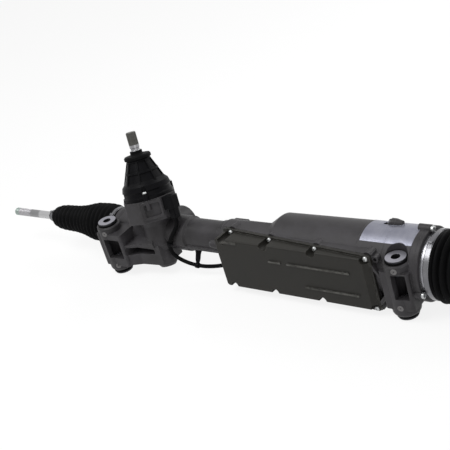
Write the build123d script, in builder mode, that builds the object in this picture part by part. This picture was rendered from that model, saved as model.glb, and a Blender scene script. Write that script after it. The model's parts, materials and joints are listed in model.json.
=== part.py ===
from build123d import *
import os
from math import acos, cos, pi, radians, sin, sqrt, tan

os.makedirs("parts", exist_ok=True)

# Electric steering rack with a hollow-shaft motor around the rack, in millimetres.
# The origin is midway between the two mounting bolts, on the plane they seat on.
# +X runs along the rack towards the motor end, +Z up along the bolts, +Y to the back.

# Fits
running = 0.05      # radial clearance where one piece turns or slides in another
snug = 0.02         # radial clearance of a pressed or screwed seat
gap = 0.3           # between faces that pass each other
tip_chamfer = 1.2   # lead-in at shaft and rod ends

# Rack and its place over the mounting plane
rack_y, rack_z = 41, 60.5
rack_r = 13
rack_travel = 70
left_stop_x = -274
right_stop_x = 303
stop_margin = 0.5

# Mounting columns
mount_spacing = 540
left_eye_r, right_eye_r = 19.5, 20.5
column_top = 90
foot_round = 8
bush_flange_r, bush_flange_t = 14.9, 3
bush_r, bush_length = 10.5, 26
bolt_hole_r = 6.5
rubber_r, rubber_t = 16.2, 2.2

# Pinion, rack teeth and the tower they sit in
pinion_x = -185
pinion_lean, pinion_rake = 9.8, 12.9   # degrees to the left and to the back
tooth_module, pinion_teeth = 2.0, 8
pressure_angle = 20
pinion_offset = 17                     # pinion axis to rack axis
rack_addendum, rack_dedendum = 0.85, 2.4
pinion_addendum, pinion_dedendum = 2.2, 1.1
rack_tooth, pinion_tooth = 2.56, 3.6   # thickness on the pitch line
pinion_face = 28
rack_spaces = 27
lower_journal_r, needle_r = 6, 9
upper_journal_r, upper_bearing_r = 12, 21
upper_bearing_at, upper_bearing_w = 19.5, 12
block_r, block_low, block_high = 42, 31, 64
sensor_bore_r = 34
cone_foot, cone_top, cone_r, cone_top_r = 90, 126.5, 34.5, 19.5
input_shaft_r, input_top = 8, 171
shaft_groove_at, shaft_groove_w, shaft_groove_depth = 141.5, 3, 0.8
torsion_r, torsion_head_r = 2.5, 3.1
lower_boss_r, lower_boss_end = 15.5, -54
cover_screw_circle, cover_screw_start = 41, -52    # degrees from the side direction
cover_lug_r, cover_lug_t, cover_flange_t = 4.6, 11.5, 5
cover_screw_r, cover_screw_length = 2.2, 12
cover_head_r, cover_head_t = 3.6, 3

# Yoke that presses the rack on the pinion
yoke_r, yoke_boss_r, yoke_boss_end = 16, 27, 50
yoke_back, liner_t, spring_room = 32, 0.75, 3.4

# Rack tube
barrel_r, tube_r, tube_bore_r = 28.5, 25.5, 15.5
barrel_end, tube_end = -125, -52
collar_left, collar_r, mouth_r = -292, 27, 21
spigot_r, spigot_length = 22, 30
seal_from_step, seal_w, seal_depth = 10, 3, 1.6
joint_angles = (165, 15, 285)
joint_ear_circle, joint_ear_r, joint_ear_t = 33.5, 6.5, 9
joint_screw_r, joint_screw_length, joint_head_r, joint_head_t = 3, 15, 5, 4

# Motor housing
motor_r, barrel_wall, barrel_draft = 51.5, 5.5, 2.2    # the draft narrows it towards the tower
motor_bore_r = motor_r - barrel_wall
barrel_foot_r = motor_r - barrel_draft
machined_from = 205                     # the barrel is turned straight from here on
sleeve_r = 30.5
shoulder_start, shoulder_end = 29, 57
motor_floor, motor_end, flange_x = 86, 247, 297
flange_r = motor_r + 1
end_angles, end_ear_circle = (335, 250), motor_r + 5.5      # screws between the two motor castings
top_angles, top_ear_circle, top_ear_t = (75,), motor_r + 1.5, 7     # one from the left, in a low ear on top
throat_r, spot_face_r = 24, 17.2        # bore behind the bolt, and the round seat cut for the bolt's head
rear_bearing_r, rear_bearing_w = 34, 12
rotor_left, rotor_bore_r, rotor_r = 72, 15, 22
core_left, core_right, core_r, magnet_r = 105, 195, 29, 32
air_gap = 0.8
cup_left, rotor_right, cup_r, cup_wall = 202, 254, 27, 4
nut_length = 40
main_bearing_at, main_bearing_w = 228, 16
slots, poles = 12, 10

# End cover on the motor
cover_t, cover_collar_r, cover_collar_wall, cover_collar_length = 6, motor_r - 4.5, 4.5, 16
cover_bolt_r, cover_bolt_circle = 3, motor_r + 0.5
cover_bolt_head_r, cover_bolt_head_t = 4.6, 4
cover_bolt_angles = (81, 201, 321)
cover_boss_r = 6

# Electronics box in front of the motor
box_left, box_right, box_bottom, box_top = -35, 238, 8, 99
parting_y = rack_y - motor_r + 24.5     # joint of the lid, at x = 0
parting_slope = 5.45                    # degrees towards the front
lid_flange, lid_wall, lid_inset = 5, 3, 3
lid_front_y, lid_front_slope = parting_y - 28.8, 1.1
gasket_t = 0.8
screw_inset, screw_notch_r = 4.5, 7.2
lid_screws_x = (box_left + 17.6, 59.4, 143.5, box_right - 7.2)
screw_head_r, screw_head_t, screw_r, screw_length = 3.8, 3.2, 2.4, 12
board_left, board_right, board_bottom, board_top = -24, 41, 26, 81
board_y, board_t = parting_y - 15.5, 1.6
tray_pocket = 13
socket_pad, socket_pad_y = ((-24, 36), (24, 62)), 73    # boss of the power socket, and its face

# Tie rods and their ball joints
ball_r, seat_t, socket_r = 12.5, 1.4, 18.4
socket_to_ball, socket_mouth = 22, 13
rod_r, rod_length, neck_r = 6.9, 185.5, 6.2
thread_length, thread_lead = 40, 1.6            # full thread at the rod's end, and the chamfer past it
relief_w, relief_depth = 2, 1                   # groove between the thread and the shank
socket_spigot_r, socket_spigot_length = 8, 22
cuff_at, cuff_length, cuff_r = 89.5, 12, 9.4    # bellows neck on the rod, from the ball

# Bellows
rubber_wall = 1.3
left_folds, right_folds = 9, 10
clamp_t, clamp_w = 1.2, 8

# Sensor lead
lead_r = 3.2

column_bottom = bush_flange_t + rubber_t
bush_top = column_top + rubber_t + bush_flange_t

left_stop_rest = left_stop_x - rack_travel - stop_margin
right_stop_rest = right_stop_x + rack_travel + stop_margin
left_ball_x = left_stop_rest - socket_to_ball
right_ball_x = right_stop_rest + socket_to_ball

rack_line = Axis((0, rack_y, rack_z), (1, 0, 0))
lengthwise = Plane(origin=(0, rack_y, rack_z), x_dir=(1, 0, 0), z_dir=(0, -1, 0))

lean, rake = radians(pinion_lean), radians(pinion_rake)
pinion_dir = Vector(-sin(lean), cos(lean) * sin(rake), cos(lean) * cos(rake))
offset_dir = Vector(0, -cos(rake), sin(rake))
side_dir = pinion_dir.cross(offset_dir)
rack_point = Vector(pinion_x, rack_y, rack_z)
pinion_foot = rack_point + offset_dir * pinion_offset
pinion_line = Axis(pinion_foot, pinion_dir)
pinion_section = Plane(origin=pinion_foot, x_dir=side_dir, z_dir=offset_dir)
yoke_line = Axis(rack_point, offset_dir * -1)
yoke_section = Plane(origin=rack_point, x_dir=(1, 0, 0), z_dir=offset_dir.cross(Vector(1, 0, 0)))

slope = radians(parting_slope)
parting = Plane(
    origin=(0, parting_y, 0),
    x_dir=(cos(slope), -sin(slope), 0),
    z_dir=(-sin(slope), -cos(slope), 0),
)


def across(x):
    """Plane square to the rack: first axis to the back, second up, both from the rack axis."""
    return Plane(origin=(x, rack_y, rack_z), x_dir=(0, 1, 0), z_dir=(1, 0, 0))


def level(s):
    """Plane square to the pinion axis, s above its foot: sideways, then towards the yoke."""
    return Plane(origin=pinion_foot + pinion_dir * s, x_dir=side_dir, z_dir=pinion_dir)


def tower_point(side, s, back=0):
    return pinion_foot + side_dir * side + pinion_dir * s - offset_dir * back


def yoke_level(v):
    return Plane(origin=rack_point - offset_dir * v, x_dir=(1, 0, 0), z_dir=offset_dir * -1)


def outline(plane, points):
    with BuildSketch(plane) as shape:
        with BuildLine():
            Polyline(*points, close=True)
        make_face()
    return shape.sketch


def disc(plane, r, at=(0, 0)):
    with BuildSketch(plane) as shape:
        with Locations(at):
            Circle(r)
    return shape.sketch


def ring(plane, outer, inner):
    with BuildSketch(plane) as shape:
        Circle(outer)
        Circle(inner, mode=Mode.SUBTRACT)
    return shape.sketch


def panel(plane, low, high, corner=0.0):
    with BuildSketch(plane) as shape:
        with Locations(((low[0] + high[0]) / 2, (low[1] + high[1]) / 2)):
            if corner:
                RectangleRounded(high[0] - low[0], high[1] - low[1], corner)
            else:
                Rectangle(high[0] - low[0], high[1] - low[1])
    return shape.sketch


def save(piece, name):
    piece.part.label = name
    export_step(piece.part, f"parts/{name}.step")


def parting_at(x):
    """How far back the lid's joint lies at x."""
    return parting_y - tan(slope) * x


# ---------------------------------------------------------------- rack and pinion
pitch_r = tooth_module * pinion_teeth / 2
circular_pitch = pi * tooth_module
flank = tan(radians(pressure_angle))
pinion_tip_r = pitch_r + pinion_addendum
pinion_root_r = pitch_r - pinion_dedendum


def rack_comb():
    """The tooth spaces and all above them, square to the teeth."""
    space = circular_pitch - rack_tooth
    top, root = pitch_r - rack_addendum, pitch_r + rack_dedendum
    half_top = space / 2 + rack_addendum * flank
    half_root = space / 2 - rack_dedendum * flank
    above = pinion_offset - rack_r - 2
    points = []
    for k in range(rack_spaces):
        middle = (k - (rack_spaces - 1) / 2) * circular_pitch
        points += [(middle - half_top, top), (middle - half_root, root)]
        points += [(middle + half_root, root), (middle + half_top, top)]
    points += [(points[-1][0], above), (points[0][0], above)]
    return outline(level(-rack_teeth_reach), points)


rack_teeth_reach = rack_r + 0.5 * rack_spaces * circular_pitch * tan(lean) + 5


def involute_turn(r, base_r):
    alpha = acos(min(1.0, base_r / r))
    return tan(alpha) - alpha


def pinion_profile(plane):
    base_r = pitch_r * cos(radians(pressure_angle))
    half_pitch = pinion_tooth / 2 / pitch_r + involute_turn(pitch_r, base_r)
    steps = [base_r + (pinion_tip_r - base_r) * k / 4 for k in range(5)]
    flank_points = [(r, half_pitch - involute_turn(r, base_r)) for r in steps]
    flank_points = [(pinion_root_r, half_pitch)] + flank_points
    points = []
    for tooth in range(pinion_teeth):
        middle = 2 * pi * tooth / pinion_teeth + pi / 2
        for r, turn in flank_points:
            points.append((r * cos(middle - turn), r * sin(middle - turn)))
        for r, turn in reversed(flank_points):
            points.append((r * cos(middle + turn), r * sin(middle + turn)))
    return outline(plane, points)


with BuildPart() as rack_bar:
    extrude(disc(across(left_stop_rest), rack_r), amount=right_stop_rest - left_stop_rest)
    chamfer(rack_bar.edges().filter_by(GeomType.CIRCLE), tip_chamfer)
    extrude(rack_comb(), amount=2 * rack_teeth_reach, mode=Mode.SUBTRACT)
    for end, way in ((left_stop_rest, 1), (right_stop_rest, -1)):
        extrude(
            disc(across(end), socket_spigot_r + snug),
            amount=way * (socket_spigot_length + 1),
            mode=Mode.SUBTRACT,
        )
save(rack_bar, "rack_bar")

head_top = 50
cup_depth = 12
with BuildPart() as pinion:
    extrude(pinion_profile(level(-pinion_face / 2)), amount=pinion_face)
    revolve(
        outline(
            pinion_section,
            [
                (0, -36), (lower_journal_r - 0.8, -36), (lower_journal_r, -35.2),
                (lower_journal_r, -pinion_face / 2), (pinion_root_r, -pinion_face / 2),
                (pinion_root_r, pinion_face / 2), (upper_journal_r, pinion_face / 2 + 2),
                (upper_journal_r, upper_bearing_at + upper_bearing_w + snug), (14, head_top - 16),
                (14, head_top), (0, head_top),
            ],
        ),
        axis=pinion_line,
    )
    extrude(disc(level(-10), torsion_head_r + snug), amount=head_top + 10, mode=Mode.SUBTRACT)
    extrude(disc(level(head_top), 9 + running), amount=-cup_depth, mode=Mode.SUBTRACT)
save(pinion, "pinion")

with BuildPart() as torsion_bar:
    revolve(
        outline(
            pinion_section,
            [
                (0, -9), (torsion_head_r, -9), (torsion_head_r, 6), (torsion_r, 9),
                (torsion_r, 91), (torsion_head_r, 94), (torsion_head_r, 109), (0, 109),
            ],
        ),
        axis=pinion_line,
    )
save(torsion_bar, "torsion_bar")

magnet_low, magnet_high = 64, 74
with BuildPart() as input_shaft:
    revolve(
        outline(
            pinion_section,
            [
                (0, head_top - cup_depth + gap), (9, head_top - cup_depth + gap), (9, head_top + gap),
                (11, head_top + gap), (11, 113), (input_shaft_r, 116),
                (input_shaft_r, shaft_groove_at - shaft_groove_depth),
                (input_shaft_r - shaft_groove_depth, shaft_groove_at),
                (input_shaft_r - shaft_groove_depth, shaft_groove_at + shaft_groove_w),
                (input_shaft_r, shaft_groove_at + shaft_groove_w + shaft_groove_depth),
                (input_shaft_r, input_top - tip_chamfer), (input_shaft_r - tip_chamfer, input_top),
                (0, input_top),
            ],
        ),
        axis=pinion_line,
    )
    extrude(
        disc(level(head_top - cup_depth), torsion_head_r + running),
        amount=112 - head_top + cup_depth,
        mode=Mode.SUBTRACT,
    )
save(input_shaft, "input_shaft")

with BuildPart() as sensor_magnet:
    extrude(ring(level(magnet_low), 16, 11 + snug), amount=magnet_high - magnet_low)
save(sensor_magnet, "sensor_magnet")

with BuildPart() as upper_bearing_inner:
    extrude(ring(level(upper_bearing_at), upper_journal_r + 2.6, upper_journal_r + snug), amount=upper_bearing_w)
save(upper_bearing_inner, "upper_bearing_inner")

with BuildPart() as upper_bearing_outer:
    extrude(ring(level(upper_bearing_at), upper_bearing_r - snug, upper_bearing_r - 3.2), amount=upper_bearing_w)
save(upper_bearing_outer, "upper_bearing_outer")

ball_row_r = (upper_journal_r + upper_bearing_r - 0.6) / 2
bearing_ball_r = (upper_bearing_r - 3.2 - upper_journal_r - 2.6) / 2 - running
with BuildPart() as upper_bearing_balls:
    with Locations(level(upper_bearing_at + upper_bearing_w / 2)):
        with PolarLocations(ball_row_r, 12):
            Sphere(bearing_ball_r)
save(upper_bearing_balls, "upper_bearing_balls")

with BuildPart() as needle_bearing:
    extrude(ring(level(-33), needle_r - snug, lower_journal_r + running), amount=16)
save(needle_bearing, "needle_bearing")

with BuildPart() as pinion_cap:
    extrude(disc(level(-37), needle_r + 2 - snug), amount=-5)
    extrude(disc(level(-42), 6), amount=2, mode=Mode.SUBTRACT)
save(pinion_cap, "pinion_cap")

# ---------------------------------------------------------------- yoke
with BuildPart() as yoke:
    extrude(disc(yoke_level(2.5), yoke_r - running), amount=yoke_back - 2.5)
    extrude(disc(across(pinion_x - 20), rack_r + running + liner_t + snug), amount=40, mode=Mode.SUBTRACT)
    extrude(disc(yoke_level(yoke_back), 6), amount=-8, mode=Mode.SUBTRACT)
save(yoke, "yoke")

with BuildPart() as yoke_liner:
    extrude(
        ring(across(pinion_x - 12), rack_r + running + liner_t, rack_r + running),
        amount=24,
    )
    extrude(
        panel(yoke_level(-20), (-20, -20), (20, 20)),
        amount=20 + 5,
        mode=Mode.SUBTRACT,
    )
save(yoke_liner, "yoke_liner")

with BuildPart() as yoke_spring:
    for base, way in ((yoke_back + 0.15, 1), (yoke_back + spring_room - 0.15, -1)):
        revolve(
            outline(
                yoke_section,
                [(5, base + way * 0.5), (5, base + way * 1.5), (13.5, base + way * 1.0), (13.5, base)],
            ),
            axis=yoke_line,
        )
save(yoke_spring, "yoke_spring")

with BuildPart() as yoke_plug:
    extrude(disc(yoke_level(yoke_back + spring_room), yoke_r - snug), amount=yoke_boss_end + 2 - yoke_back - spring_room)
    with BuildSketch(yoke_level(yoke_boss_end + 2)):
        RegularPolygon(9, 6)
    extrude(amount=-7, mode=Mode.SUBTRACT)
    chamfer(yoke_plug.faces().sort_by(Axis(rack_point, offset_dir * -1))[-1].outer_wire().edges(), 1)
save(yoke_plug, "yoke_plug")

# ---------------------------------------------------------------- pinion housing
seal_at = tube_end + seal_from_step
left_eye_x, right_eye_x = -mount_spacing / 2, mount_spacing / 2


def turned(points):
    """Half profile of a piece turned about the rack axis, as (x, radius)."""
    return outline(lengthwise, points)


def column(eye_x, eye_r, left, right):
    """Round eyes over the whole height, with a block between them that reaches back to the tube."""
    with BuildSketch(Plane(origin=(eye_x, 0, 0), x_dir=(1, 0, 0), z_dir=(0, -1, 0))) as section:
        with Locations((eye_r / 2, (column_bottom + column_top) / 2)):
            Rectangle(eye_r, column_top - column_bottom)
        fillet(section.vertices().group_by(Axis.X)[-1].sort_by(Axis.Y)[0], foot_round)
        chamfer(section.vertices().group_by(Axis.X)[-1].sort_by(Axis.Y)[-1], 2)
    revolve(section.sketch, axis=Axis((eye_x, 0, 0), (0, 0, 1)))
    extrude(panel(Plane.XY.offset(19), (left, -18), (right, rack_y), 4), amount=column_top - 30)


def spread(x, r, circle, angles):
    """Discs on a circle round the rack axis."""
    with BuildSketch(across(x)) as discs:
        with Locations(*[(circle * cos(radians(a)), circle * sin(radians(a))) for a in angles]):
            Circle(r)
    return discs.sketch


def ears(x, thickness, hole_r, circle, angles):
    """Ears round the tube where two castings are screwed together."""
    extrude(spread(x, joint_ear_r, circle, angles), amount=thickness)
    extrude(spread(x, hole_r, circle, angles), amount=thickness, mode=Mode.SUBTRACT)


def column_cuts(eye_x, left, right, low, high):
    """Bolt bore, and the window in front."""
    extrude(disc(Plane.XY, bush_r + snug, (eye_x, 0)), amount=column_top + 10, mode=Mode.SUBTRACT)
    extrude(panel(Plane.XY.offset(low), (left, -25), (right, 9), 2.5), amount=high - low, mode=Mode.SUBTRACT)


def around_tower(s, r):
    """Discs where the tower cover is screwed down."""
    with BuildSketch(level(s)) as discs:
        with PolarLocations(cover_screw_circle, 3, start_angle=cover_screw_start):
            Circle(r)
    return discs.sketch


with BuildPart() as pinion_housing:
    revolve(
        turned(
            [
                (collar_left, 0), (collar_left, collar_r - 1.5), (collar_left + 2, collar_r),
                (collar_left + 16, collar_r), (collar_left + 16, collar_r + 4), (-270, collar_r + 4),
                (-266, barrel_r), (barrel_end - 3, barrel_r), (barrel_end, tube_r),
                (tube_end, tube_r), (tube_end, spigot_r), (seal_at, spigot_r), (seal_at, spigot_r - seal_depth),
                (seal_at + seal_w, spigot_r - seal_depth), (seal_at + seal_w, spigot_r),
                (tube_end + spigot_length, spigot_r),
                (tube_end + spigot_length, 0),
            ]
        ),
        axis=rack_line,
    )
    # Mounting column, and the shelf webs that tie it to the tower foot
    column(left_eye_x, left_eye_r, left_eye_x - 17, left_eye_x + 36)
    shelf = [(-250, -16), (-236, -14), (-214, -5), (-172, -1), (-166, 16), (-166, rack_y), (-250, rack_y)]
    extrude(outline(Plane.XY.offset(20), shelf), amount=38)
    slot = [(-235, 39), (-182, 41), (-182, 50), (-235, 53.5)]
    with BuildSketch(Plane.XZ.offset(30)) as slot_shape:
        with BuildLine():
            Polyline(*slot, close=True)
        make_face()
        fillet(slot_shape.vertices(), 2.5)
    extrude(amount=-42, mode=Mode.SUBTRACT)
    # Gusset that climbs from the shelf to the tower
    gusset = Plane(origin=(0, 10, 0), x_dir=(1, 0, 0), z_dir=(0, -1, 0))
    with BuildSketch(gusset.offset(14)):
        with BuildLine():
            Polyline((-242, 54), (-178, 54), (-180, 62), close=True)
        make_face()
    with BuildSketch(gusset.offset(-12)):
        with BuildLine():
            Polyline((-246, 54), (-168, 54), (-184, 91), close=True)
        make_face()
    loft()
    # Yoke boss and the pinion tower
    extrude(disc(yoke_level(0), yoke_boss_r), amount=yoke_boss_end)
    chamfer(edges(Select.LAST).filter_by(GeomType.CIRCLE).sort_by(yoke_line)[-1], 3)
    revolve(
        outline(
            pinion_section,
            [
                (0, lower_boss_end), (lower_boss_r - 3, lower_boss_end), (lower_boss_r, lower_boss_end + 4),
                (lower_boss_r, -26), (24, -14), (24.5, 18), (30, block_low), (0, block_low),
            ],
        ),
        axis=pinion_line,
    )
    with BuildSketch(level(block_low - 3)) as block_shape:
        RegularPolygon(block_r, 8, rotation=22.5, major_radius=False)
        fillet(block_shape.vertices(), 6)
    extrude(amount=block_high - block_low + 3)
    # Recessed pad on the facet between front and side of the sensor block
    facing = (side_dir + offset_dir).normalized()
    pad = Plane(origin=tower_point(0, block_low, 0) + facing * block_r, x_dir=pinion_dir.cross(facing), z_dir=facing)
    extrude(panel(pad, (-16, 2), (16, 31), 3), amount=2)
    extrude(panel(pad.offset(2), (-12.5, 6), (13, 27), 3), amount=-4, mode=Mode.SUBTRACT)
    # Screw bosses of the tower cover
    extrude(around_tower(block_high - 16, cover_lug_r), amount=16)
    # Long rib under the tube and the collar where the motor housing is bolted on
    rib_plane = Plane(origin=(0, rack_y, rack_z), x_dir=(1, 0, 0), z_dir=(0, -cos(radians(22)), -sin(radians(22))))
    extrude(panel(rib_plane, (barrel_end - 10, -3), (tube_end - 6, 3)), amount=tube_r + 3)
    extrude(ring(across(tube_end - 9), tube_r + 2, tube_r - 1), amount=9)
    ears(tube_end, -joint_ear_t, joint_screw_r + gap, joint_ear_circle, joint_angles)
    # Bores
    revolve(
        turned(
            [
                (collar_left - 1, 0), (collar_left - 1, mouth_r), (left_stop_x, mouth_r),
                (left_stop_x, 17), (-246, 17), (-246, tube_bore_r),
                (tube_end + spigot_length + 1, tube_bore_r), (tube_end + spigot_length + 1, 0),
            ]
        ),
        axis=rack_line,
        mode=Mode.SUBTRACT,
    )
    revolve(
        outline(
            pinion_section,
            [
                (0, -37), (needle_r, -37), (needle_r, -pinion_face / 2 - 1.5),
                (pinion_tip_r + 1, -pinion_face / 2 - 1.5), (pinion_tip_r + 1, pinion_face / 2 - 1),
                (upper_journal_r + 2, pinion_face / 2 + 1), (upper_journal_r + 2, upper_bearing_at),
                (upper_bearing_r, upper_bearing_at),
                (upper_bearing_r, block_low + 6), (sensor_bore_r, block_low + 9),
                (sensor_bore_r, block_high + 1), (0, block_high + 1),
            ],
        ),
        axis=pinion_line,
        mode=Mode.SUBTRACT,
    )
    extrude(disc(level(-37), needle_r + 2), amount=-25, mode=Mode.SUBTRACT)
    extrude(disc(yoke_level(0), yoke_r), amount=yoke_boss_end + 1, mode=Mode.SUBTRACT)
    extrude(around_tower(block_high, cover_screw_r + snug), amount=-cover_screw_length, mode=Mode.SUBTRACT)
    column_cuts(left_eye_x, left_eye_x - 2, left_eye_x + 30, 34, 69)
    # Room for the bellows cuff and its clamp behind the eye
    revolve(
        turned(
            [
                (collar_left - 8, collar_r), (collar_left - 8, collar_r + 6), (collar_left + 15.5, collar_r + 6),
                (collar_left + 15.5, collar_r),
            ]
        ),
        axis=rack_line,
        mode=Mode.SUBTRACT,
    )
save(pinion_housing, "pinion_housing")

with BuildPart() as rack_bush:
    extrude(ring(across(left_stop_x + 2), 17 - snug, rack_r + running), amount=24)
save(rack_bush, "rack_bush")

# ---------------------------------------------------------------- motor housing
motor_axis_bore = [
    (tube_end - 1, 0), (tube_end - 1, spigot_r + snug), (tube_end + spigot_length + gap, spigot_r + snug),
    (tube_end + spigot_length + gap, 18), (rotor_left - 2, 18), (rotor_left - 2, rear_bearing_r),
    (motor_floor, rear_bearing_r), (motor_floor, motor_bore_r), (motor_end + 1, motor_bore_r),
    (motor_end + 1, 0),
]


def screw_points(bottom, top):
    """Lid screws in the joint plane: along the lid, then up."""
    along = [x / cos(slope) for x in lid_screws_x]
    return [(t, top - screw_inset) for t in along] + [(t, bottom + screw_inset) for t in along]


lid_left, lid_right = box_left / cos(slope), box_right / cos(slope)
hollow_low = (lid_left + lid_inset + lid_wall, box_bottom + lid_inset + lid_wall)
hollow_high = (lid_right - lid_inset - lid_wall - 9, box_top - lid_inset - lid_wall)
lid_points = screw_points(box_bottom, box_top)
lid_deep = 45
board_corners = [(x, z) for x in (board_left + 4, board_right - 4) for z in (board_bottom + 4, board_top - 4)]


def lid_bores(start, r):
    with BuildSketch(parting.offset(start)) as discs:
        with Locations(*lid_points):
            Circle(r)
    return discs.sketch


with BuildPart() as lid_seat:
    # Everything the lid's rim takes up in front of the joint
    low, high = (lid_left - gap, box_bottom - 2), (lid_right + gap, box_top + 20)
    extrude(panel(parting, low, high), amount=lid_deep)
    inner_low, inner_high = (hollow_low[0] + gap, hollow_low[1] + gap), (hollow_high[0] - gap, hollow_high[1] - gap)
    extrude(panel(parting, inner_low, inner_high, 3), amount=lid_deep, mode=Mode.SUBTRACT)
    extrude(lid_bores(0, screw_notch_r + lid_wall + gap), amount=lid_deep)

with BuildPart() as motor_housing:
    # Electronics tray, full height on the sleeve and up against the motor barrel
    tray = [
        (box_left, parting_at(box_left)), (box_right, parting_at(box_right)),
        (box_right, rack_y), (shoulder_end, rack_y), (box_left, rack_y - 7),
    ]
    extrude(outline(Plane.XY.offset(box_bottom), tray), amount=box_top - box_bottom)
    chamfer(edges().filter_by(Axis.Z).sort_by(Axis.X)[0], 3)
    extrude(panel(parting, hollow_low, hollow_high, 3), amount=-tray_pocket, mode=Mode.SUBTRACT)
    extrude(lid_bores(0, screw_notch_r), amount=-tray_pocket - 2)
    back = [
        (rack_y - 9, box_bottom + 4), (rack_y - 9, box_top), (rack_y + 6, box_top - 8),
        (rack_y + 8, rack_z), (rack_y + 2, box_bottom + 16),
    ]
    extrude(outline(Plane.YZ.offset(box_left + 5), back), amount=shoulder_end - box_left)
    revolve(
        turned(
            [
                (tube_end, 0), (tube_end, sleeve_r - 1), (tube_end + 1.5, sleeve_r), (shoulder_start, sleeve_r),
                (shoulder_end - 3, barrel_foot_r - 1.6), (shoulder_end, barrel_foot_r),
                (machined_from - 1, motor_r - 0.5), (machined_from, motor_r), (motor_end, motor_r), (motor_end, 0),
            ]
        ),
        axis=rack_line,
    )
    # Posts for the circuit board, and the boss the power socket sits on
    with BuildSketch(Plane.XZ.offset(-board_y)):
        with Locations(*board_corners):
            Circle(4)
    extrude(amount=board_y - 32)
    pad_low, pad_high = socket_pad
    extrude(panel(Plane.XZ.offset(-rack_y), pad_low, pad_high, 4), amount=rack_y - socket_pad_y)
    revolve(turned(motor_axis_bore), axis=rack_line, mode=Mode.SUBTRACT)
    add(lid_seat.part, mode=Mode.SUBTRACT)
    ears(tube_end, joint_ear_t + 5, joint_screw_r + snug, joint_ear_circle, joint_angles)
    ears(motor_end, -12, joint_screw_r + snug, end_ear_circle, end_angles)
    # Small boss with a blind hole beside the lid
    front_boss = Plane.XZ.offset(-parting_at(box_right) - 0.5)
    extrude(disc(front_boss, 5.2, (box_right + 3.5, 91)), amount=-20)
    extrude(disc(front_boss, 2.5, (box_right + 3.5, 91)), amount=-9, mode=Mode.SUBTRACT)
    # The low ear on top, with room for its screw's head cut into the barrel
    ears(motor_end, -top_ear_t, joint_screw_r + gap, top_ear_circle, top_angles)
    extrude(
        spread(motor_end - top_ear_t, joint_head_r + gap, top_ear_circle, top_angles), amount=-12, mode=Mode.SUBTRACT
    )
    extrude(disc(across(main_bearing_at), motor_bore_r), amount=motor_end - main_bearing_at + 1, mode=Mode.SUBTRACT)
    extrude(lid_bores(lid_flange, screw_r + snug), amount=-screw_length - 1, mode=Mode.SUBTRACT)
save(motor_housing, "motor_housing")

with BuildPart() as end_housing:
    revolve(
        turned(
            [
                (motor_end - 2.5, 0), (motor_end - 2.5, motor_bore_r - snug), (motor_end, motor_bore_r - snug),
                (motor_end, motor_r), (flange_x - 9, motor_r), (flange_x - 7, flange_r), (flange_x, flange_r),
                (flange_x, 0),
            ]
        ),
        axis=rack_line,
    )
    column(right_eye_x, right_eye_r, right_eye_x - 22, flange_x - 4)
    # Braces from the column to the tray
    for low, high in ((66, 80), (40, 22)):
        brace = [
            (right_eye_x - 20, low), (right_eye_x - 20, low - 7),
            (box_right + gap, high - 4), (box_right + gap, high + 4),
        ]
        extrude(outline(Plane.XZ.offset(14), brace), amount=-18)
    spigot_start, spigot_edge = motor_end - 2.5, motor_bore_r - snug
    around_motor = [
        (box_right, 0), (box_right, motor_r + gap), (motor_end, motor_r + gap), (motor_end, spigot_edge),
        (spigot_start, spigot_edge), (spigot_start, 0),
    ]
    revolve(turned(around_motor), axis=rack_line, mode=Mode.SUBTRACT)
    extrude(spread(flange_x, cover_boss_r, cover_bolt_circle, cover_bolt_angles), amount=-12)
    ears(motor_end, joint_ear_t, joint_screw_r + gap, end_ear_circle, end_angles)
    extrude(spread(motor_end, joint_ear_r, top_ear_circle, top_angles), amount=10, taper=14)
    extrude(spread(motor_end, joint_screw_r + snug, top_ear_circle, top_angles), amount=9, mode=Mode.SUBTRACT)
    # Round seat that clears the bolt's head, in front of the barrel
    extrude(disc(Plane.XY.offset(column_top), spot_face_r, (right_eye_x, 0)), amount=40, mode=Mode.SUBTRACT)
    revolve(
        turned(
            [
                (motor_end - 3, 0), (motor_end - 3, motor_bore_r - 4), (motor_end + 1, motor_bore_r - 4),
                (motor_end + 1, throat_r + 9), (rotor_right + 2, throat_r + 9), (rotor_right + 2, throat_r),
                (flange_x - 5, throat_r), (flange_x - 5, motor_bore_r), (flange_x + 1, motor_bore_r),
                (flange_x + 1, 0),
            ]
        ),
        axis=rack_line,
        mode=Mode.SUBTRACT,
    )
    extrude(
        spread(flange_x, cover_bolt_r + snug, cover_bolt_circle, cover_bolt_angles),
        amount=-10,
        mode=Mode.SUBTRACT,
    )
    column_cuts(right_eye_x, right_eye_x - 2, right_eye_x + 19, 37, 77)
save(end_housing, "end_housing")


with BuildPart() as mount_bushes:
    for eye_x in (left_eye_x, right_eye_x):
        for seat, way in ((0, 1), (bush_top, -1)):
            extrude(disc(Plane.XY.offset(seat), bush_flange_r, (eye_x, 0)), amount=way * bush_flange_t)
            extrude(disc(Plane.XY.offset(seat), bush_r, (eye_x, 0)), amount=way * bush_length)
        extrude(disc(Plane.XY, bolt_hole_r, (eye_x, 0)), amount=bush_top, mode=Mode.SUBTRACT)
save(mount_bushes, "mount_bushes")

with BuildPart() as mount_rubbers:
    for low in (bush_flange_t, column_top):
        with BuildSketch(Plane.XY.offset(low)):
            with Locations((left_eye_x, 0), (right_eye_x, 0)):
                Circle(rubber_r)
                Circle(bush_r + snug, mode=Mode.SUBTRACT)
        extrude(amount=rubber_t)
save(mount_rubbers, "mount_rubbers")

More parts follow.
